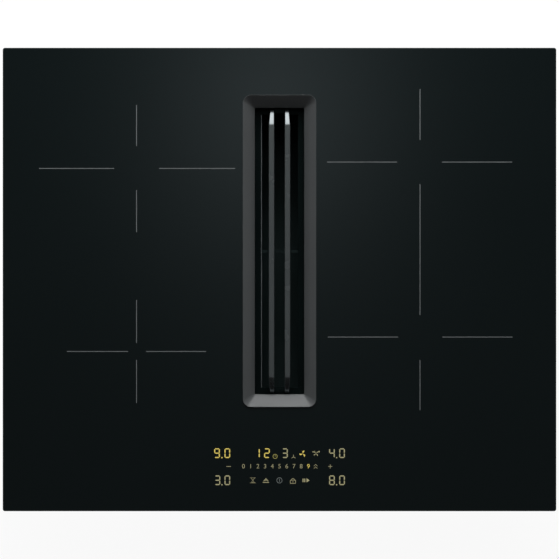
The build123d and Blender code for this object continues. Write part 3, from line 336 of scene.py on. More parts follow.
def rubber(name, colour=(0.014, 0.014, 0.015)):
    """Foam or rubber: matt, with small pores."""
    shader = Shader(name)
    pores = shader.cells(1500)
    shader.colours(pores, *shades(colour, 0.35))
    shader.roughness(shader.noise(90), 0.75, 0.95)
    shader.relief(pores, 0.4, 0.1 * MM)
    return shader.material


def mineral(name, colour, amount=0.2):
    """Ferrite or mica: dry, speckled, slightly flaky."""
    shader = Shader(name)
    shader.colours(shader.cells(420), *shades(colour, amount))
    shader.roughness(shader.noise(120), 0.6, 0.85)
    shader.relief(shader.noise(800, 4), 0.4, 0.05 * MM)
    return shader.material


RIM_PAINTED_DARKER = 2 * MM  # height of the basket's rim, painted darker than below it to offset the light it gets

glass_black = glass_ceramic("glass_black")
bezel_coat = coated(
    "bezel_coat", (0.0845, 0.0905, 0.093), 0.36, 0.42, grain=2400, depth=0.01 * MM, amount=0.04,
    Specular_IOR_Level=1.0,
)
# the basket's coat: painted lighter deep down where shade falls, painted darker on the lit rim
basket_coat_shade_evened = two_blacks(
    "basket_coat_shade_evened", basket_high.z - RIM_PAINTED_DARKER, (0.020, 0.031, 0.031), (0.0040, 0.0071, 0.0071),
)
# a lighter coat for the left hem only: a painted highlight along the rim's inner edge
hem_painted_highlight = coated("hem_painted_highlight", (0.15, 0.17, 0.175), 0.36, 0.42, amount=0.1)
mesh_steel = brushed("mesh_steel", (0.05, 0.054, 0.055), (900, 900, 900), 0.35, 0.5)
well_black = moulded("well_black", (0.012, 0.0175, 0.018))
housing_grey = moulded("housing_grey", (0.045, 0.047, 0.05))
housing_dark = moulded("housing_dark", (0.022, 0.023, 0.025))
impeller_black = moulded("impeller_black", (0.02, 0.02, 0.022), 0.35, 0.5)
small_plastic = moulded("small_plastic", (0.018, 0.018, 0.02), 0.35, 0.5)
white_plastic = moulded("white_plastic", (0.6, 0.59, 0.55), 0.4, 0.5, 0.05)
carrier_plastic = moulded("carrier_plastic", (0.42, 0.4, 0.36), 0.5, 0.6, 0.06)
sheet_zinc = galvanised("sheet_zinc")
spring_steel = brushed("spring_steel", (0.42, 0.42, 0.43), (60, 900, 900))
bracket_steel = brushed("bracket_steel", (0.5, 0.5, 0.51), (900, 60, 60))
screw_steel = brushed("screw_steel", (0.55, 0.55, 0.56), (900, 900, 200))
aluminium = brushed("aluminium", (0.7, 0.7, 0.71), (40, 900, 900))
stator_iron = brushed("stator_iron", (0.2, 0.15, 0.12), (300, 300, 900), 0.4, 0.6)
copper = wound_copper("copper")
board_green = circuit_board("board_green")
seal_black = rubber("seal_black")
ferrite_black = mineral("ferrite_black", (0.035, 0.035, 0.04))
mica_sheet = mineral("mica_sheet", (0.5, 0.45, 0.36), 0.1)
mark_print = printed("mark_print", (0.2, 0.212, 0.217))
amber_bright = lit("amber_bright", (0.64, 0.50, 0.112))
amber_dim = lit("amber_dim", (0.33, 0.305, 0.17))
amber_low = lit("amber_low", (0.26, 0.238, 0.135))
amber_clock = lit("amber_clock", (0.27, 0.24, 0.07))
white_low = lit("white_low", (0.13, 0.145, 0.14))

finishes = {
    "worktop_seal": seal_black, "bezel_seal": seal_black, "well_gasket": seal_black,
    "housing_gasket": seal_black, "motor_buffers": seal_black, "touch_pads": seal_black,
    "casing": sheet_zinc, "plate_posts": sheet_zinc, "motor_plate": sheet_zinc,
    "worktop_clips": spring_steel, "housing_clips": spring_steel,
    "hanger_brackets": bracket_steel, "motor_nuts": screw_steel,
    "intake_well": well_black, "drip_tray": well_black, "filter_basket": basket_coat_shade_evened,
    "plenum_shell": housing_grey, "scroll_housing": housing_grey, "duct_spigot": housing_grey,
    "overflow_trough": housing_dark, "inlet_plate": housing_dark, "fan_control_box": housing_dark,
    "impeller": impeller_black, "impeller_blades": impeller_black,
    "impeller_shroud": impeller_black, "cooling_fan_rotor_left": impeller_black,
    "cooling_fan_rotor_right": impeller_black, "motor_rotor": aluminium,
    "motor_stator": stator_iron, "coil_windings": copper, "coil_carriers": carrier_plastic,
    "ferrite_bars": ferrite_black, "insulation_sheets": mica_sheet,
    "coil_sensors": white_plastic, "terminal_block": white_plastic,
    "coil_plate_left": aluminium, "coil_plate_right": aluminium,
    "heat_sink_left": aluminium, "heat_sink_right": aluminium,
    "power_board_left": board_green, "power_board_right": board_green,
    "fan_control_board": board_green, "mains_filter_board": board_green,
    "panel_board": board_green, "power_parts": small_plastic,
    "mains_filter_parts": small_plastic, "cooling_fan_frames": small_plastic,
    "panel_carrier": small_plastic, "cable_gland": small_plastic,
    "terminal_cover": small_plastic, "digit_displays": small_plastic,
}
for node, finish in finishes.items():
    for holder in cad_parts[node].material_slots:
        holder.material = finish

# ---------------------------------------------------------------- mesh helpers

LEVEL = 0.9999  # upward share of a level face's normal
EDGE_STEPS = 5  # faces across a small rounded edge


def finished(name, mesh, body, finish, angle, level_faces=False):
    """Turns a bmesh into a piece that rides on a body, smooth but for edges over the angle.
    Level faces can be left flat."""
    bmesh.ops.recalc_face_normals(mesh, faces=mesh.faces)
    data = bpy.data.meshes.new(name)
    mesh.to_mesh(data)
    mesh.free()
    for face in data.polygons:
        face.use_smooth = True
    data.set_sharp_from_angle(angle=radians(angle))
    for face in data.polygons:
        if level_faces and abs(face.normal.z) > LEVEL:
            face.use_smooth = False
    data.materials.append(finish)
    piece = bpy.data.objects.new(name, data)
    bpy.context.scene.collection.objects.link(piece)
    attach(piece, body)
    return piece


def outline(width, length, corner, level, middle=0.0):
    """Points round a rounded rectangle, anticlockwise from the right."""
    points = []
    for number, (side, end) in enumerate(((1, 1), (-1, 1), (-1, -1), (1, -1))):
        for step in range(STEPS + 1):
            turn = pi / 2 * (number + step / STEPS)
            points.append(Vector((
                side * (width / 2 - corner) + corner * cos(turn),
                middle + end * (length / 2 - corner) + corner * sin(turn),
                level,
            )))
    return points


def neighbours(ring):
    """Each item of a closed ring with the one that follows it."""
    return zip(ring, ring[1:] + ring[:1])


def skin(mesh, loops, closed=False):
    """Faces between each loop of points and the next. Returns the rings of vertices."""
    rings = [[mesh.verts.new(point) for point in loop] for loop in loops]
    pairs = list(zip(rings, rings[1:]))
    if closed:
        pairs.append((rings[-1], rings[0]))
    for lower, upper in pairs:
        for (near, next_near), (far, next_far) in zip(neighbours(lower), neighbours(upper)):
            mesh.faces.new((near, next_near, next_far, far))
    return rings


def capped(mesh, loops):
    """A closed solid through the loops, with a flat face at each end."""
    rings = skin(mesh, loops)
    mesh.faces.new(reversed(rings[0]))
    mesh.faces.new(rings[-1])


def prism(mesh, points, low, high):
    """An upright prism on a flat outline."""
    capped(mesh, [[Vector((x, y, low)) for x, y in points],
                  [Vector((x, y, high)) for x, y in points]])


def flat_ring(mesh, outer, inner):
    """A flat face between two rings of vertices."""
    edges = [mesh.edges.get(pair) for ring in (outer, inner) for pair in neighbours(ring)]
    bmesh.ops.triangle_fill(mesh, edges=edges, use_beauty=True, use_dissolve=False)


def rounded_edge(radius):
    """Inset and drop of points round an outer edge, from the side up to the top."""
    turns = [pi / 2 * step / EDGE_STEPS for step in range(EDGE_STEPS + 1)]
    return [(radius * (1 - cos(turn)), radius * (1 - sin(turn))) for turn in turns]


# ---------------------------------------------------------------- glass plate

EDGE_ROUND = 0.5 * MM
GLASS_CORNER = 2.5 * MM
HOLE_CORNER = 7.9 * MM
HOLE_MARGIN = 1.0 * MM  # the bezel's lip overlaps the hole's edge by this much

glass_size = glass_high - glass_low
hole_width = bezel_high.x - bezel_low.x - 2 * HOLE_MARGIN
hole_length = bezel_high.y - bezel_low.y - 2 * HOLE_MARGIN


def glass_loop(inset, level):
    return outline(
        glass_size.x - 2 * inset, glass_size.y - 2 * inset, GLASS_CORNER - inset, level
    )


mesh = bmesh.new()
upper = [glass_loop(inset, GLASS_TOP - drop) for inset, drop in rounded_edge(EDGE_ROUND)]
lower = [
    glass_loop(inset, glass_low.z + drop) for inset, drop in rounded_edge(EDGE_ROUND / 2)
]
outer_rings = skin(mesh, list(reversed(lower)) + upper)
inner_rings = skin(mesh, [
    outline(hole_width, hole_length, HOLE_CORNER, level, SLOT_Y)
    for level in (glass_low.z, GLASS_TOP)
])
flat_ring(mesh, outer_rings[-1], inner_rings[-1])
flat_ring(mesh, outer_rings[0], inner_rings[0])
glass = finished("glass", mesh, "hob", glass_black, 50, level_faces=True)
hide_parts("glass_plate")

# ---------------------------------------------------------------- slot bezel

LIP_CORNER = 8.9 * MM
LIP_ROUND = 0.12 * MM
LIP_LAND = 0.3 * MM  # from the lip's outer side to where its face starts to slope
LIP_HEIGHT = 0.8 * MM
THROAT_WIDTH = 55.1 * MM
THROAT_LENGTH = 319.3 * MM
THROAT_CORNER = 1.2 * MM
COLLAR_WALL = 1.5 * MM
COLLAR_DEPTH = 6.0 * MM
SKIRT_INSET = 1.3 * MM
FACE_EDGE_ROUND = 0.5 * MM
FACE_LOOPS = (0.012, 0.035, 0.5, 0.965)  # shares of the way down a face, to steady its shading

lip_width = bezel_high.x - bezel_low.x
lip_length = bezel_high.y - bezel_low.y
lip_top = bezel_high.z
lip_bottom = lip_top - LIP_HEIGHT
throat_level = bezel_low.z + COLLAR_DEPTH


def lip_loop(inset, level):
    return outline(
        lip_width - 2 * inset, lip_length - 2 * inset, LIP_CORNER - inset, level, SLOT_Y
    )


def throat_loop(grow, level):
    return outline(
        THROAT_WIDTH + 2 * grow, THROAT_LENGTH + 2 * grow, THROAT_CORNER + grow, level, SLOT_Y
    )


def between(first, second, share):
    """The loop at this share of the way from one loop to another."""
    return [a.lerp(b, share) for a, b in zip(first, second)]


mesh = bmesh.new()
face_top = lip_loop(LIP_LAND, lip_top)
face_foot = throat_loop(0, throat_level)
loops = [lip_loop(inset, lip_top - drop) for inset, drop in rounded_edge(LIP_ROUND)]
loops.append(between(face_top, loops[-1], 0.3))
loops += [between(face_top, face_foot, share) for share in FACE_LOOPS]
loops += [
    between(face_foot, throat_loop(0, throat_level - FACE_EDGE_ROUND), 0.25),
    throat_loop(0, throat_level - FACE_EDGE_ROUND),
    throat_loop(0, bezel_low.z),
    throat_loop(COLLAR_WALL, bezel_low.z),
    throat_loop(COLLAR_WALL, throat_level),
    lip_loop(SKIRT_INSET, glass_low.z),
    lip_loop(SKIRT_INSET, lip_bottom),
    lip_loop(0, lip_bottom),
]
skin(mesh, loops, closed=True)
bezel = finished("bezel", mesh, "hob", bezel_coat, 28)
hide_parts("slot_bezel", "bezel_corners")

# ---------------------------------------------------------------- grille

BAR_WIDTH = 5.9 * MM
BAR_SPACING = 17.7 * MM
BAR_FLAT = 280.6 * MM
BAR_ROUND = 0.7 * MM
BAR_TAPER = 1.4 * MM
BAR_DEPTH = 12.0 * MM
END_RADIUS = 56.0 * MM  # each end is a long gentle slope and then a rounded nose
NOSE_RADIUS = 8.4 * MM
NOSE_REACH = 5.6 * MM
FIRST_SLOPE = radians(9.8)
LAST_SLOPE = radians(89)
END_LIP = 0.4 * MM  # height of a bar's blunt tip
SLOPE_STEPS = 10
NOSE_STEPS = 8
FLAT_SECTION = 0.98  # share of a bar's flat half where a section keeps its shading flat
MOST_ROUND = 0.45  # largest share of a section's height that its rounding takes
SATIN = (0.076, 0.087, 0.089)
SMOOTH = (0.38, 0.415, 0.43)
FOOT = 5.0 * MM  # length of a bar's foot and of a yoke along the bars
YOKE_HEIGHT = 4.0 * MM
YOKE_OVERLAP = 0.2 * MM  # a yoke's reach into each bar

bar_front, bar_rear = grille_low.y, grille_high.y
flat_half = BAR_FLAT / 2
bar_top = grille_high.z
foot_level = grille_low.z
bar_underside = bar_top - BAR_DEPTH

run = (bar_rear - bar_front) / 2 - flat_half
middle_slope = asin(sin(FIRST_SLOPE) + (run - NOSE_REACH) / END_RADIUS)


def end_curve():
    """Distance from the flat's edge and drop below it, at steps along the end of a bar."""
    reach = drop = 0.0
    slope = FIRST_SLOPE
    for radius, last, count in (
        (END_RADIUS, middle_slope, SLOPE_STEPS), (NOSE_RADIUS, LAST_SLOPE, NOSE_STEPS)
    ):
        first, start_reach, start_drop = slope, reach, drop
        for step in range(count + 1):
            slope = first + (last - first) * step / count
            reach = start_reach + radius * (sin(slope) - sin(first))
            drop = start_drop + radius * (cos(first) - cos(slope))
            if step or radius == END_RADIUS:
                yield min(reach, run), drop
    yield run, bar_top - foot_level - END_LIP


def bar_section(side, along, top, bottom, taper):
    """Loop round a bar's cross-section, both upper edges rounded."""
    inner = side * (BAR_SPACING - BAR_WIDTH) / 2
    outer = side * ((BAR_SPACING + BAR_WIDTH) / 2 - taper)
    edge = rounded_edge(min(BAR_ROUND, (top - bottom) * MOST_ROUND))
    points = [(inner, bottom)]
    points += [(inner + side * inset, top - drop) for inset, drop in edge]
    points += [(outer - side * inset, top - drop) for inset, drop in reversed(edge)]
    points.append((outer, bottom))
    return [Vector((x, along, z)) for x, z in points]


def underside(offset):
    """Level of a bar's underside at this distance from the grille's middle."""
    to_end = (bar_rear - bar_front) / 2 - offset
    share = max(0, min(1, (2 * FOOT - to_end) / FOOT))
    return bar_underside + (foot_level - bar_underside) * share


mesh = bmesh.new()
stations = [(flat_half + reach, drop) for reach, drop in end_curve()]
stations = [(0, 0), (flat_half * FLAT_SECTION, 0)] + stations
for side in (-1, 1):
    sections = []
    for end in (-1, 1):
        part = []
        for offset, drop in stations:
            taper = BAR_TAPER * max(0, offset - flat_half) / run
            part.append(bar_section(
                side, SLOT_Y + end * offset, bar_top - drop, underside(offset), taper
            ))
        sections += list(reversed(part)) if end == -1 else part[1:]
    capped(mesh, sections)
grille_coat = satin_bars("grille_coat", SLOT_Y, flat_half, SATIN, SMOOTH)
grille = finished("grille_bars", mesh, "grille", grille_coat, 32)
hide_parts("intake_grille")

# a yoke's cross-section: distance in from its outer face, and height above the bars' feet
edge = rounded_edge(BAR_ROUND)
yoke_profile = [(FOOT, 0), (0, 0)]
yoke_profile += [(inset, YOKE_HEIGHT - drop) for inset, drop in edge]
yoke_profile += [(FOOT - inset, YOKE_HEIGHT - drop) for inset, drop in reversed(edge)]

mesh = bmesh.new()
half = (BAR_SPACING - BAR_WIDTH) / 2 + YOKE_OVERLAP
for end in (-1, 1):
    yoke_out = SLOT_Y + end * (bar_rear - bar_front) / 2
    capped(mesh, [
        [Vector((x, yoke_out - end * back, foot_level + rise)) for back, rise in yoke_profile]
        for x in (-half, half)
    ])
finished("grille_yokes", mesh, "grille", basket_coat_shade_evened, 32)

# ---------------------------------------------------------------- printed marks on the glass

INK = 0.03 * MM  # height of a printed or lit film above the glass
INK_LOW = GLASS_TOP - 0.02 * MM  # its hidden underside
MARK_WIDTH = 0.85 * MM
ARC_STEPS = 24
DOT_SIDES = 16


class Film:
    """Thin printed or lit shapes on the glass, gathered into one piece."""

    def __init__(self):
        self.mesh = bmesh.new()

    def shape(self, points):
        """A flat shape from corner points in metres."""
        prism(self.mesh, points, INK_LOW, GLASS_TOP + INK)

    def stroke(self, start, end, width):
        """A straight stroke with square ends."""
        start, end = Vector(start), Vector(end)
        along = (end - start).normalized()
        across = Vector((-along.y, along.x)) * width / 2
        self.shape([start - across, end - across, end + across, start + across])

    def path(self, points, width):
        """Straight strokes from point to point."""
        for start, end in zip(points, points[1:]):
            self.stroke(start, end, width)

    def arc(self, centre, radius, width, first=0, last=360):
        """A bent stroke, or a whole ring in two halves."""
        spans = [(first, last)] if last - first < 360 else [(0, 180), (180, 360)]
        for low, high in spans:
            turns = [
                radians(low + (high - low) * step / ARC_STEPS) for step in range(ARC_STEPS + 1)
            ]
            outer = [self.polar(centre, radius + width / 2, turn) for turn in turns]
            inner = [self.polar(centre, radius - width / 2, turn) for turn in turns]
            self.shape(outer + inner[::-1])

    def dot(self, centre, radius):
        self.shape([
            self.polar(centre, radius, 2 * pi * step / DOT_SIDES) for step in range(DOT_SIDES)
        ])

    @staticmethod
    def polar(centre, radius, turn):
        """The point at this turn on a circle."""
        return centre[0] + radius * cos(turn), centre[1] + radius * sin(turn)

    def finish(self, name, finish, slot):
        return finished(name, self.mesh, "hob", finish, 30)


# the marks, in pixels of the photograph: each line's row or column and its two ends
ROW_LEFT_REAR, ROW_LEFT_FRONT = 168.4, 351.4
ROW_RIGHT_REAR, ROW_RIGHT_FRONT = 162.0, 337.0
COLUMN_LEFT, COLUMN_RIGHT = 136.5, 420.0
level_marks = (
    (ROW_LEFT_REAR, 39, 114), (ROW_LEFT_REAR, 159, 235),
    (ROW_LEFT_FRONT, 67, 128), (ROW_LEFT_FRONT, 146, 206),
    (ROW_RIGHT_REAR, 327, 397), (ROW_RIGHT_REAR, 442, 512),
    (ROW_RIGHT_FRONT, 328, 398), (ROW_RIGHT_FRONT, 442.5, 512.5),
)
upright_marks = (
    (COLUMN_LEFT, 105, 146), (COLUMN_LEFT, 190, 232),
    (COLUMN_LEFT, 300, 343), (COLUMN_LEFT, 360, 403),
    (COLUMN_RIGHT, 89, 140), (COLUMN_RIGHT, 184, 315), (COLUMN_RIGHT, 360, 410),
)
marks = Film()
for row, left, right in level_marks:
    marks.stroke(place(left, row), place(right, row), MARK_WIDTH)
for column, rear, front in upright_marks:
    marks.stroke(place(column, rear), place(column, front), MARK_WIDTH)
marks.finish("zone_marks", mark_print, "ceramic_glass")

# ---------------------------------------------------------------- lit display

DIGIT_HEIGHT = 9.7 * PIXEL
DIGIT_WIDTH = 5.7 * PIXEL
SEGMENT = 1.2 * MM
SEGMENT_GAP = 0.18 * MM
SEGMENTS = {
    "0": "abcdef", "1": "bc", "2": "abged", "3": "abgcd", "4": "fgbc", "8": "abcdefg",
    "9": "abcdfg",
}


def digit(film, figure, centre):
    """A seven-segment figure."""
    half_x = (DIGIT_WIDTH - SEGMENT) / 2
    half_y = (DIGIT_HEIGHT - SEGMENT) / 2
    x, y = centre
    corners = {
        "a": ((-half_x, half_y), (half_x, half_y)),
        "b": ((half_x, half_y), (half_x, 0)),
        "c": ((half_x, 0), (half_x, -half_y)),
        "d": ((-half_x, -half_y), (half_x, -half_y)),
        "e": ((-half_x, 0), (-half_x, -half_y)),
        "f": ((-half_x, half_y), (-half_x, 0)),
        "g": ((-half_x, 0), (half_x, 0)),
    }
    for name in SEGMENTS[figure]:
        start, end = (Vector(point) + Vector((x, y)) for point in corners[name])
        along = (end - start).normalized()
        across = Vector((-along.y, along.x)) * SEGMENT / 2
        start += along * SEGMENT_GAP
        end -= along * SEGMENT_GAP
        taper = along * SEGMENT / 2
        film.shape([
            start, start + taper - across, end - taper - across,
            end, end - taper + across, start + taper + across,
        ])


ROW_REAR, ROW_MIDDLE, ROW_FRONT = 453.1, 466.4, 480.2
POINT_DROP = 4.5  # pixels from a figure's middle down to its decimal point
POINT_RADIUS = 0.75 * MM
TAP = 7.22  # pixels from one number of the slider to the next
TAP_START = 243.4
FINE = 0.6 * MM  # width of a pictogram's strokes
THIN = FINE * 0.8
FAINT = FINE * 0.6

bright, dim, low, clock_face, pale = (Film() for _ in range(5))

for film, row, figures, point in (
    (bright, ROW_REAR, (("9", 217.0), ("0", 227.3)), 221.9),
    (dim, ROW_REAR, (("4", 331.9), ("0", 342.0)), 336.6),
    (dim, ROW_FRONT, (("3", 217.4), ("0", 227.3)), 221.9),
    (dim, ROW_FRONT, (("8", 331.9), ("0", 342.0)), 336.6),
    (bright, ROW_REAR, (("1", 256.9), ("2", 266.9)), None),
    (dim, ROW_REAR, (("3", 284.9),), None),
):
    for figure, across in figures:
        digit(film, figure, place(across, row))
    if point is not None:
        film.dot(place(point, row + POINT_DROP), POINT_RADIUS)

# minus and plus beside the slider
low.stroke(place(226.4, ROW_MIDDLE), place(230.9, ROW_MIDDLE), FINE)
low.stroke(place(328.2, ROW_MIDDLE), place(332.2, ROW_MIDDLE), FINE)
low.stroke(place(330.2, ROW_MIDDLE - 2.0), place(330.2, ROW_MIDDLE + 2.0), FINE)

# chevrons for the highest setting, after the number 9
boost = TAP_START + 10 * TAP
for rise in (-1.1, 1.3):
    low.path([
        place(boost - 1.8, ROW_MIDDLE + rise + 0.8), place(boost, ROW_MIDDLE + rise - 1.0),
        place(boost + 1.8, ROW_MIDDLE + rise + 0.8),
    ], THIN)


PETAL_STEPS = 8


def blades(film, centre, reach, count, turn, width):
    """A fan wheel: petal blades round a hub, each widest beyond its middle."""
    for number in range(count):
        angle = radians(turn) + 2 * pi * number / count
        petal = [centre]
        for step in range(1, PETAL_STEPS + 1):
            share = step / PETAL_STEPS
            bulge = width * sin(pi * share) * (0.35 + 0.65 * share)
            x, y = Film.polar(centre, reach * share, angle)
            petal.append((x - sin(angle) * bulge, y + cos(angle) * bulge))
        film.shape(petal)


clock = place(275.1, 456.3)
clock_face.arc(clock, 2.35 * MM, FINE)
clock_face.path([
    (clock[0], clock[1] + 1.6 * MM), clock, (clock[0] + 1.1 * MM, clock[1] + 0.5 * MM)
], THIN)
propeller = place(293.5, 456.9)
for turn in (90, 210, 330):
    low.stroke(propeller, Film.polar(propeller, 2.5 * MM, radians(turn)), FINE)
blades(bright, place(302.7, 453.7), 4.0 * MM, 3, 58, 2.4 * MM)
blades(dim, place(316.0, 453.4), 3.5 * MM, 4, 30, 1.3 * MM)
dim.dot(place(319.0, 451.6), 0.8 * MM)
dim.dot(place(313.1, 451.8), 0.7 * MM)

# hourglass
sand_x, sand_y = place(252.8, 480.3)
SAND_HALF = 2.8 * MM
for level in (-SAND_HALF, SAND_HALF):
    low.stroke(
        (sand_x - 3.2 * MM, sand_y + level), (sand_x + 3.2 * MM, sand_y + level), FAINT
    )
for side in (-1, 1):
    low.path([
        (sand_x + side * 2.1 * MM, sand_y + SAND_HALF), (sand_x, sand_y),
        (sand_x + side * 2.1 * MM, sand_y - SAND_HALF),
    ], FAINT)
low.shape([
    (sand_x - 0.9 * MM, sand_y - SAND_HALF), (sand_x + 0.9 * MM, sand_y - SAND_HALF),
    (sand_x, sand_y - 1.5 * MM),
])

# dish cover for keeping warm
dish_x, dish_y = dish = place(265.9, 481.4)
plate_y = dish_y - 1.1 * MM
dim.arc(dish, 2.3 * MM, FINE, 0, 180)
dim.stroke((dish_x - 3.5 * MM, plate_y), (dish_x + 3.5 * MM, plate_y), FINE)
dim.dot((dish_x, dish_y + 3.0 * MM), 0.5 * MM)
dim.arc(dish, 1.2 * MM, THIN, 20, 160)

# on and off
power_x, power_y = power = place(279.4, 480.3)
POWER_STROKE = FINE * 0.9
pale.arc(power, 2.9 * MM, POWER_STROKE)
pale.stroke((power_x, power_y - 1.5 * MM), (power_x, power_y + 1.5 * MM), POWER_STROKE)

# padlock
lock_x, lock_y = place(292.9, 481.2)
low.arc((lock_x, lock_y + 1.2 * MM), 1.7 * MM, FINE, 0, 180)
low.path([
    (lock_x - 2.9 * MM, lock_y + 1.2 * MM), (lock_x + 2.9 * MM, lock_y + 1.2 * MM),
    (lock_x + 2.9 * MM, lock_y - 2.4 * MM), (lock_x - 2.9 * MM, lock_y - 2.4 * MM),
    (lock_x - 2.9 * MM, lock_y + 1.2 * MM),
], FINE)
low.stroke((lock_x, lock_y - 1.4 * MM), (lock_x, lock_y + 0.2 * MM), FINE)

# pause and play
play_x, play_y = place(306.0, 480.3)
for shift in (-3.3, -1.4):
    dim.shape([
        (play_x + (shift + side * 0.55) * MM, play_y + end * 1.9 * MM)
        for side, end in ((-1, -1), (1, -1), (1, 1), (-1, 1))
    ])
dim.shape([
    (play_x + 0.6 * MM, play_y - 2.3 * MM), (play_x + 3.9 * MM, play_y),
    (play_x + 0.6 * MM, play_y + 2.3 * MM),
])

for film, name, light in (
    (bright, "display_bright", amber_bright), (dim, "display_dim", amber_dim),
    (low, "display_low", amber_low), (clock_face, "display_clock", amber_clock),
    (pale, "display_pale", white_low),
):
    film.finish(name, light, "display")

# the slider's numbers, of which the last one is lit brightly
FIGURE_SIZE = 6.9 * MM
for number in range(10):
    text = bpy.data.curves.new(f"figure_{number}", "FONT")
    text.body = str(number)
    text.size = FIGURE_SIZE
    text.align_x = "CENTER"
    text.align_y = "CENTER"
    text.extrude = INK / 2
    x, y = place(TAP_START + number * TAP, ROW_MIDDLE)
    source = bpy.data.objects.new(f"figure_source_{number}", text)
    bpy.context.scene.collection.objects.link(source)
    source.location = (x, y, GLASS_TOP + INK / 2)
    bpy.context.view_layer.update()
    data = bpy.data.meshes.new_from_object(source.evaluated_get(
        bpy.context.evaluated_depsgraph_get()
    ))
    data.transform(source.matrix_world)
    bpy.data.objects.remove(source)
    data.materials.clear()
    data.materials.append(amber_bright if number == 9 else amber_low)
    piece = bpy.data.objects.new(f"slider_{number}", data)
    bpy.context.scene.collection.objects.link(piece)
    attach(piece, "hob")

# ---------------------------------------------------------------- filter mesh

WIRE = 0.35 * MM
WIRE_PITCH = 2.6 * MM
WALL_OUTSIDE = 24.6 * MM  # from the basket's middle to the outside of its side wall
MESH_INSET = 1.25 * MM  # from there to the wires
MESH_ABOVE_FLOOR = 3 * MM
MESH_BELOW_RIM = 12 * MM
MESH_FROM_END = 4.5 * MM

mesh = bmesh.new()
basket_half = WALL_OUTSIDE - MESH_INSET
mesh_low = basket_low.z + MESH_ABOVE_FLOOR
mesh_high = basket_high.z - MESH_BELOW_RIM
mesh_front = basket_low.y + MESH_FROM_END
mesh_rear = basket_high.y - MESH_FROM_END


def wire(start, end):
    """A thin four-sided wire."""
    along = (end - start).normalized()
    first = along.orthogonal().normalized() * WIRE / 2
    second = along.cross(first)
    capped(mesh, [
        [point + first, point + second, point - first, point - second]
        for point in (start, end)
    ])


def spaced(start, stop):
    """Places a wire's pitch apart, or a little more, from start to stop."""
    count = int((stop - start) / WIRE_PITCH)
    return [start + (stop - start) * step / count for step in range(count + 1)]


for side in (-1, 1):
    x = side * basket_half
    for y in spaced(mesh_front, mesh_rear):
        wire(Vector((x, y, mesh_low)), Vector((x, y, mesh_high)))
    near = x - side * WIRE
    for z in spaced(mesh_low, mesh_high):
        wire(Vector((near, mesh_front, z)), Vector((near, mesh_rear, z)))
finished("filter_mesh", mesh, "filter", mesh_steel, 30)

# ---------------------------------------------------------------- hem of the filter's rim

HEM_WIDTH = 0.9 * MM
HEM_DEPTH = 1.1 * MM
HEM_PROFILE = ((0, 0), (0.45, 0.12), (0.85, 0.5), (1, 1), (0, 1))  # shares of both
RIM_OPENING = 41.0 * MM
RIM_OPENING_LENGTH = 305.2 * MM

left = -RIM_OPENING / 2
front = SLOT_Y - RIM_OPENING_LENGTH / 2
rear = SLOT_Y + RIM_OPENING_LENGTH / 2
# the left hem is painted lighter, a painted highlight; the front hem takes the rim's dark tone as
# painted shade
for name, coat, start, end, inwards in (
    ("hem_left", hem_painted_highlight, (left, front), (left, rear), (1, 0)),
    ("hem_front", basket_coat_shade_evened, (-left, front), (left, front), (0, 1)),
):
    mesh = bmesh.new()
    inwards = Vector((*inwards, 0))
    sections = []
    for point in (start, end):
        top = Vector((*point, basket_high.z))
        sections.append([
            top + inwards * HEM_WIDTH * reach - Vector((0, 0, HEM_DEPTH * drop))
            for reach, drop in HEM_PROFILE
        ])
    capped(mesh, sections)
    finished(name, mesh, "filter", coat, 40)

# ---------------------------------------------------------------- screws

SCREW_RADIUS = 3.4 * MM
SCREW_HEIGHT = 1.8 * MM
SCREW_SIDES = 24
SCREW_INSET = 9 * MM  # from the casing's wall to the screw's axis
CASING_FLANGE = 3 * MM  # reach of its top flange beyond the wall
DOME = ((1.0, 0), (1.0, 0.45), (0.9, 0.8), (0.62, 1.0))  # shares of radius and height
RECESS_REACH = 0.5  # the cross recess, in shares of the head's radius
RECESS_HALF = 0.28 / 3
RECESS_CORNER = 0.1
RECESS_DEPTH = 0.6  # share of the head's height


def screw(mesh, centre, outwards):
    """A domed head with a cross recess, standing out along its axis."""
    outwards = Vector(outwards)
    first = outwards.orthogonal().normalized()
    second = outwards.cross(first)
    turns = [2 * pi * number / SCREW_SIDES for number in range(SCREW_SIDES)]
    rings = skin(mesh, [
        [
            centre + outwards * SCREW_HEIGHT * rise
            + (first * cos(turn) + second * sin(turn)) * SCREW_RADIUS * share
            for turn in turns
        ]
        for share, rise in DOME
    ])
    mesh.faces.new(reversed(rings[0]))
    crown = centre + outwards * SCREW_HEIGHT
    cross = []
    for quarter in range(4):
        turn = pi / 2 * quarter
        for reach, side in (
            (RECESS_REACH, -RECESS_HALF), (RECESS_REACH, RECESS_HALF),
            (RECESS_CORNER, RECESS_CORNER),
        ):
            u = reach * cos(turn) - side * sin(turn)
            v = reach * sin(turn) + side * cos(turn)
            cross.append(crown + (first * u + second * v) * SCREW_RADIUS)
    top = [mesh.verts.new(point) for point in cross]
    for pair in neighbours(top):
        mesh.edges.new(pair)
    flat_ring(mesh, rings[-1], top)
    sunk = outwards * SCREW_HEIGHT * RECESS_DEPTH
    bottom = [mesh.verts.new(point - sunk) for point in cross]
    for (high, next_high), (deep, next_deep) in zip(neighbours(top), neighbours(bottom)):
        mesh.faces.new((high, deep, next_deep, next_high))
    mesh.faces.new(bottom)


mesh = bmesh.new()
inset = CASING_FLANGE + SCREW_INSET
for x in (casing_low.x + inset, casing_high.x - inset):
    for y in (casing_low.y + inset, casing_high.y - inset):
        screw(mesh, Vector((x, y, casing_low.z)), (0, 0, -1))
finished("casing_screws", mesh, "hob", screw_steel, 40)

# ---------------------------------------------------------------- stage, lights and camera

CAMERA_HEIGHT = 2.2  # above the glass
SENSOR = 36  # width in millimetres
FAR = 20  # as far as the camera sees
LENS = SENSOR * CAMERA_HEIGHT / (FRAME_PIXELS * PIXEL)

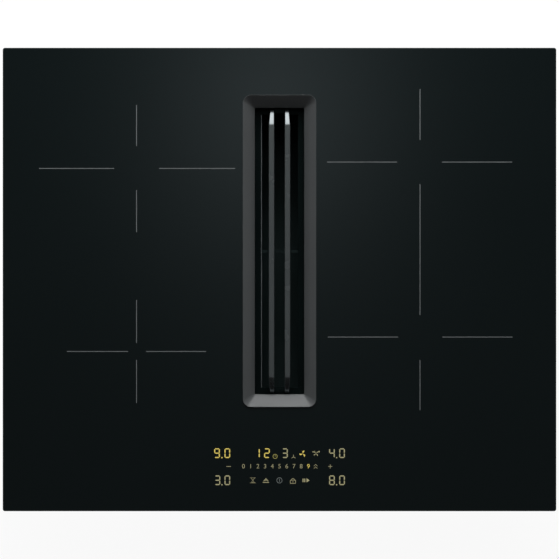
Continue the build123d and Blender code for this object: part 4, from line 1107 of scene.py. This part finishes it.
camera_data = bpy.data.cameras.new("camera")
camera_data.lens = LENS
camera_data.sensor_width = SENSOR
camera_data.clip_end = FAR
camera = bpy.data.objects.new("camera", camera_data)
camera.location = (0, 0, GLASS_TOP + CAMERA_HEIGHT)
bpy.context.scene.collection.objects.link(camera)
bpy.context.scene.camera = camera
bpy.context.scene.view_settings.view_transform = "Standard"


def seen_directly(tree, *kinds):
    """1 for rays of these kinds, such as those straight from the camera."""
    path = tree.nodes.new("ShaderNodeLightPath")
    value = path.outputs[kinds[0]]
    for kind in kinds[1:]:
        value = calculated(tree, "MAXIMUM", value, path.outputs[kind])
    return value


# floor: white to the camera, in metal and in glass, with a soft shadow left in it. Its glow
# grows with the distance, so that no horizon shows.
FLOOR_HALF = 5.0
FLOOR_THICKNESS = 0.02
FLOOR_GAP = 0.0002  # below the object
GLOW_NEAR, GLOW_FAR = 0.7, 2.6
GLOW_LOW, GLOW_HIGH = 0.93, 0.995

floor_material = bpy.data.materials.new("floor")
floor_material.use_nodes = True
tree = floor_material.node_tree
tree.nodes.clear()
output = tree.nodes.new("ShaderNodeOutputMaterial")
plain = tree.nodes.new("ShaderNodeBsdfDiffuse")
grain = tree.nodes.new("ShaderNodeTexNoise")
grain.inputs["Scale"].default_value = 6
tree.links.new(mapped(tree, grain.outputs["Fac"], 0, 1, 0.76, 0.8), plain.inputs["Color"])
faint = tree.nodes.new("ShaderNodeBsdfDiffuse")
faint.inputs["Color"].default_value = (0.12, 0.12, 0.12, 1)
glow = tree.nodes.new("ShaderNodeEmission")
spot = tree.nodes.new("ShaderNodeTexCoord").outputs["Object"]
away = tree.nodes.new("ShaderNodeVectorMath")
away.operation = "LENGTH"
tree.links.new(spot, away.inputs[0])
whitening = mapped(tree, away.outputs["Value"], GLOW_NEAR, GLOW_FAR, GLOW_LOW, GLOW_HIGH)
tree.links.new(whitening, glow.inputs["Strength"])
lifted = tree.nodes.new("ShaderNodeAddShader")
chosen = tree.nodes.new("ShaderNodeMixShader")
tree.links.new(faint.outputs[0], lifted.inputs[0])
tree.links.new(glow.outputs[0], lifted.inputs[1])
tree.links.new(
    seen_directly(tree, "Is Camera Ray", "Is Glossy Ray", "Is Transmission Ray"),
    chosen.inputs["Fac"],
)
tree.links.new(plain.outputs[0], chosen.inputs[1])
tree.links.new(lifted.outputs[0], chosen.inputs[2])
tree.links.new(chosen.outputs[0], output.inputs["Surface"])

mesh = bmesh.new()
prism(mesh, [
    (-FLOOR_HALF, -FLOOR_HALF), (FLOOR_HALF, -FLOOR_HALF),
    (FLOOR_HALF, FLOOR_HALF), (-FLOOR_HALF, FLOOR_HALF),
], floor_level - FLOOR_THICKNESS, floor_level - FLOOR_GAP)
bmesh.ops.recalc_face_normals(mesh, faces=mesh.faces)
floor_mesh = bpy.data.meshes.new("floor")
mesh.to_mesh(floor_mesh)
mesh.free()
floor_mesh.materials.append(floor_material)
floor = bpy.data.objects.new("floor", floor_mesh)
bpy.context.scene.collection.objects.link(floor)

# world: white behind the object. What the surfaces mirror is a dim studio: one soft patch
# of light overhead, a little to the rear, a lighter horizon and a ceiling that dims towards
# the front.
PATCH_X = -0.003  # direction of the soft patch, from straight up: towards the rear
PATCH_Y = 0.095
PATCH_WIDTH = 0.0605
PATCH_LENGTH = 0.080
PATCH_POWER = 0.85
PATCH_LIGHT = 0.47
CEILING = 0.045
CEILING_FRONT = 0.15  # share of the ceiling's light that is left at the front
DIM_START, DIM_STOP = -0.35, -0.12  # forward directions between which it dims
HORIZON = 0.35
HORIZON_REAR = 1.8
HORIZON_POWER = 6
REAR_DIRECTION = 0.9  # rearward direction where the horizon is lightest
OVERHEAD = 0.02
OVERHEAD_POWER = 8

world = bpy.data.worlds.new("studio")
bpy.context.scene.world = world
world.use_nodes = True
tree = world.node_tree
tree.nodes.clear()
output = tree.nodes.new("ShaderNodeOutputWorld")
backdrop = tree.nodes.new("ShaderNodeBackground")
backdrop.inputs["Color"].default_value = (1, 1, 1, 1)
studio = tree.nodes.new("ShaderNodeBackground")
patch = tree.nodes.new("ShaderNodeBackground")
mirrored = tree.nodes.new("ShaderNodeAddShader")
chosen = tree.nodes.new("ShaderNodeMixShader")
tree.links.new(seen_directly(tree, "Is Camera Ray"), chosen.inputs["Fac"])
tree.links.new(studio.outputs[0], mirrored.inputs[0])
tree.links.new(patch.outputs[0], mirrored.inputs[1])
tree.links.new(mirrored.outputs[0], chosen.inputs[1])
tree.links.new(backdrop.outputs[0], chosen.inputs[2])
tree.links.new(chosen.outputs[0], output.inputs["Surface"])


def sky(operation, first, second=None):
    """A calculation in the world's node tree."""
    return calculated(world.node_tree, operation, first, second)


direction = tree.nodes.new("ShaderNodeTexCoord").outputs["Generated"]
parts = tree.nodes.new("ShaderNodeSeparateXYZ")
tree.links.new(direction, parts.inputs[0])
sideways, rearwards, upwards = (parts.outputs[axis] for axis in "XYZ")

# the patch: light falls off with a power of the distance from its middle
across = sky("DIVIDE", sky("SUBTRACT", sideways, PATCH_X), PATCH_WIDTH)
along = sky("DIVIDE", sky("SUBTRACT", rearwards, PATCH_Y), PATCH_LENGTH)
squares = sky("ADD", sky("MULTIPLY", across, across), sky("MULTIPLY", along, along))
fading = sky("MULTIPLY", sky("POWER", squares, PATCH_POWER), -1)
overhead = sky("GREATER_THAN", upwards, 0)
patch_strength = sky("MULTIPLY", sky("EXPONENT", fading), overhead)
patch_strength = sky("MULTIPLY", patch_strength, PATCH_LIGHT)

# the horizon, lighter at the rear, the zenith and the ceiling
height = sky("ABSOLUTE", upwards)
rim = sky("POWER", sky("SUBTRACT", 1, height), HORIZON_POWER)
cap = sky("MULTIPLY", sky("POWER", height, OVERHEAD_POWER), overhead)
horizon = mapped(tree, rearwards, 0, REAR_DIRECTION, HORIZON, HORIZON_REAR)
ceiling = mapped(tree, rearwards, DIM_START, DIM_STOP, CEILING * CEILING_FRONT, CEILING)
total = sky("ADD", sky("MULTIPLY", rim, horizon), sky("MULTIPLY", cap, OVERHEAD))
total = sky("ADD", total, ceiling)
tree.links.new(total, studio.inputs["Strength"])
studio.inputs["Color"].default_value = (0.98, 0.995, 1.0, 1)
tree.links.new(patch_strength, patch.inputs["Strength"])
patch.inputs["Color"].default_value = (0.85, 0.99, 1.03, 1)


EDGE_FADE = 0.3  # share of a softbox's side over which it fades


def softbox(name, centre, aim, width, height, radiance, mirrored=True):
    """A rectangular area light that faces a point and fades towards its edges. It shows in
    what mirrors it, or only lights what is matt."""
    data = bpy.data.lights.new(name, "AREA")
    data.shape = "RECTANGLE"
    data.size = width
    data.size_y = height
    data.energy = pi * width * height * radiance
    data.use_nodes = True
    tree = data.node_tree
    emission = tree.nodes["Emission"]
    surface = tree.nodes.new("ShaderNodeNewGeometry")
    sides = tree.nodes.new("ShaderNodeSeparateXYZ")
    tree.links.new(surface.outputs["Parametric"], sides.inputs[0])
    shares = []
    for axis in "XY":
        side = sides.outputs[axis]
        to_edge = calculated(tree, "MINIMUM", side, calculated(tree, "SUBTRACT", 1, side))
        ramp = tree.nodes.new("ShaderNodeMapRange")
        ramp.interpolation_type = "SMOOTHSTEP"
        ramp.inputs["From Max"].default_value = EDGE_FADE
        tree.links.new(to_edge, ramp.inputs["Value"])
        shares.append(ramp.outputs["Result"])
    tree.links.new(calculated(tree, "MULTIPLY", *shares), emission.inputs["Strength"])
    lamp = bpy.data.objects.new(name, data)
    lamp.location = centre
    lamp.rotation_euler = (Vector(aim) - Vector(centre)).to_track_quat("-Z", "Y").to_euler()
    lamp.visible_camera = False
    lamp.visible_glossy = mirrored
    bpy.context.scene.collection.objects.link(lamp)


softbox(
    "rear_window", (0, 1.16, 1.09), (0, 0, 0), width=1.5, height=1.85, radiance=1.7,
)
softbox(
    "rear_fill", (0, 1.6, 0.6), (0, 0, 0), width=1.4, height=1.0, radiance=13.0,
    mirrored=False,
)
softbox(
    "right_strip", (1.5, 0.1, 0.8), (0, 0.03, 0), width=0.4, height=1.2, radiance=0.25,
)
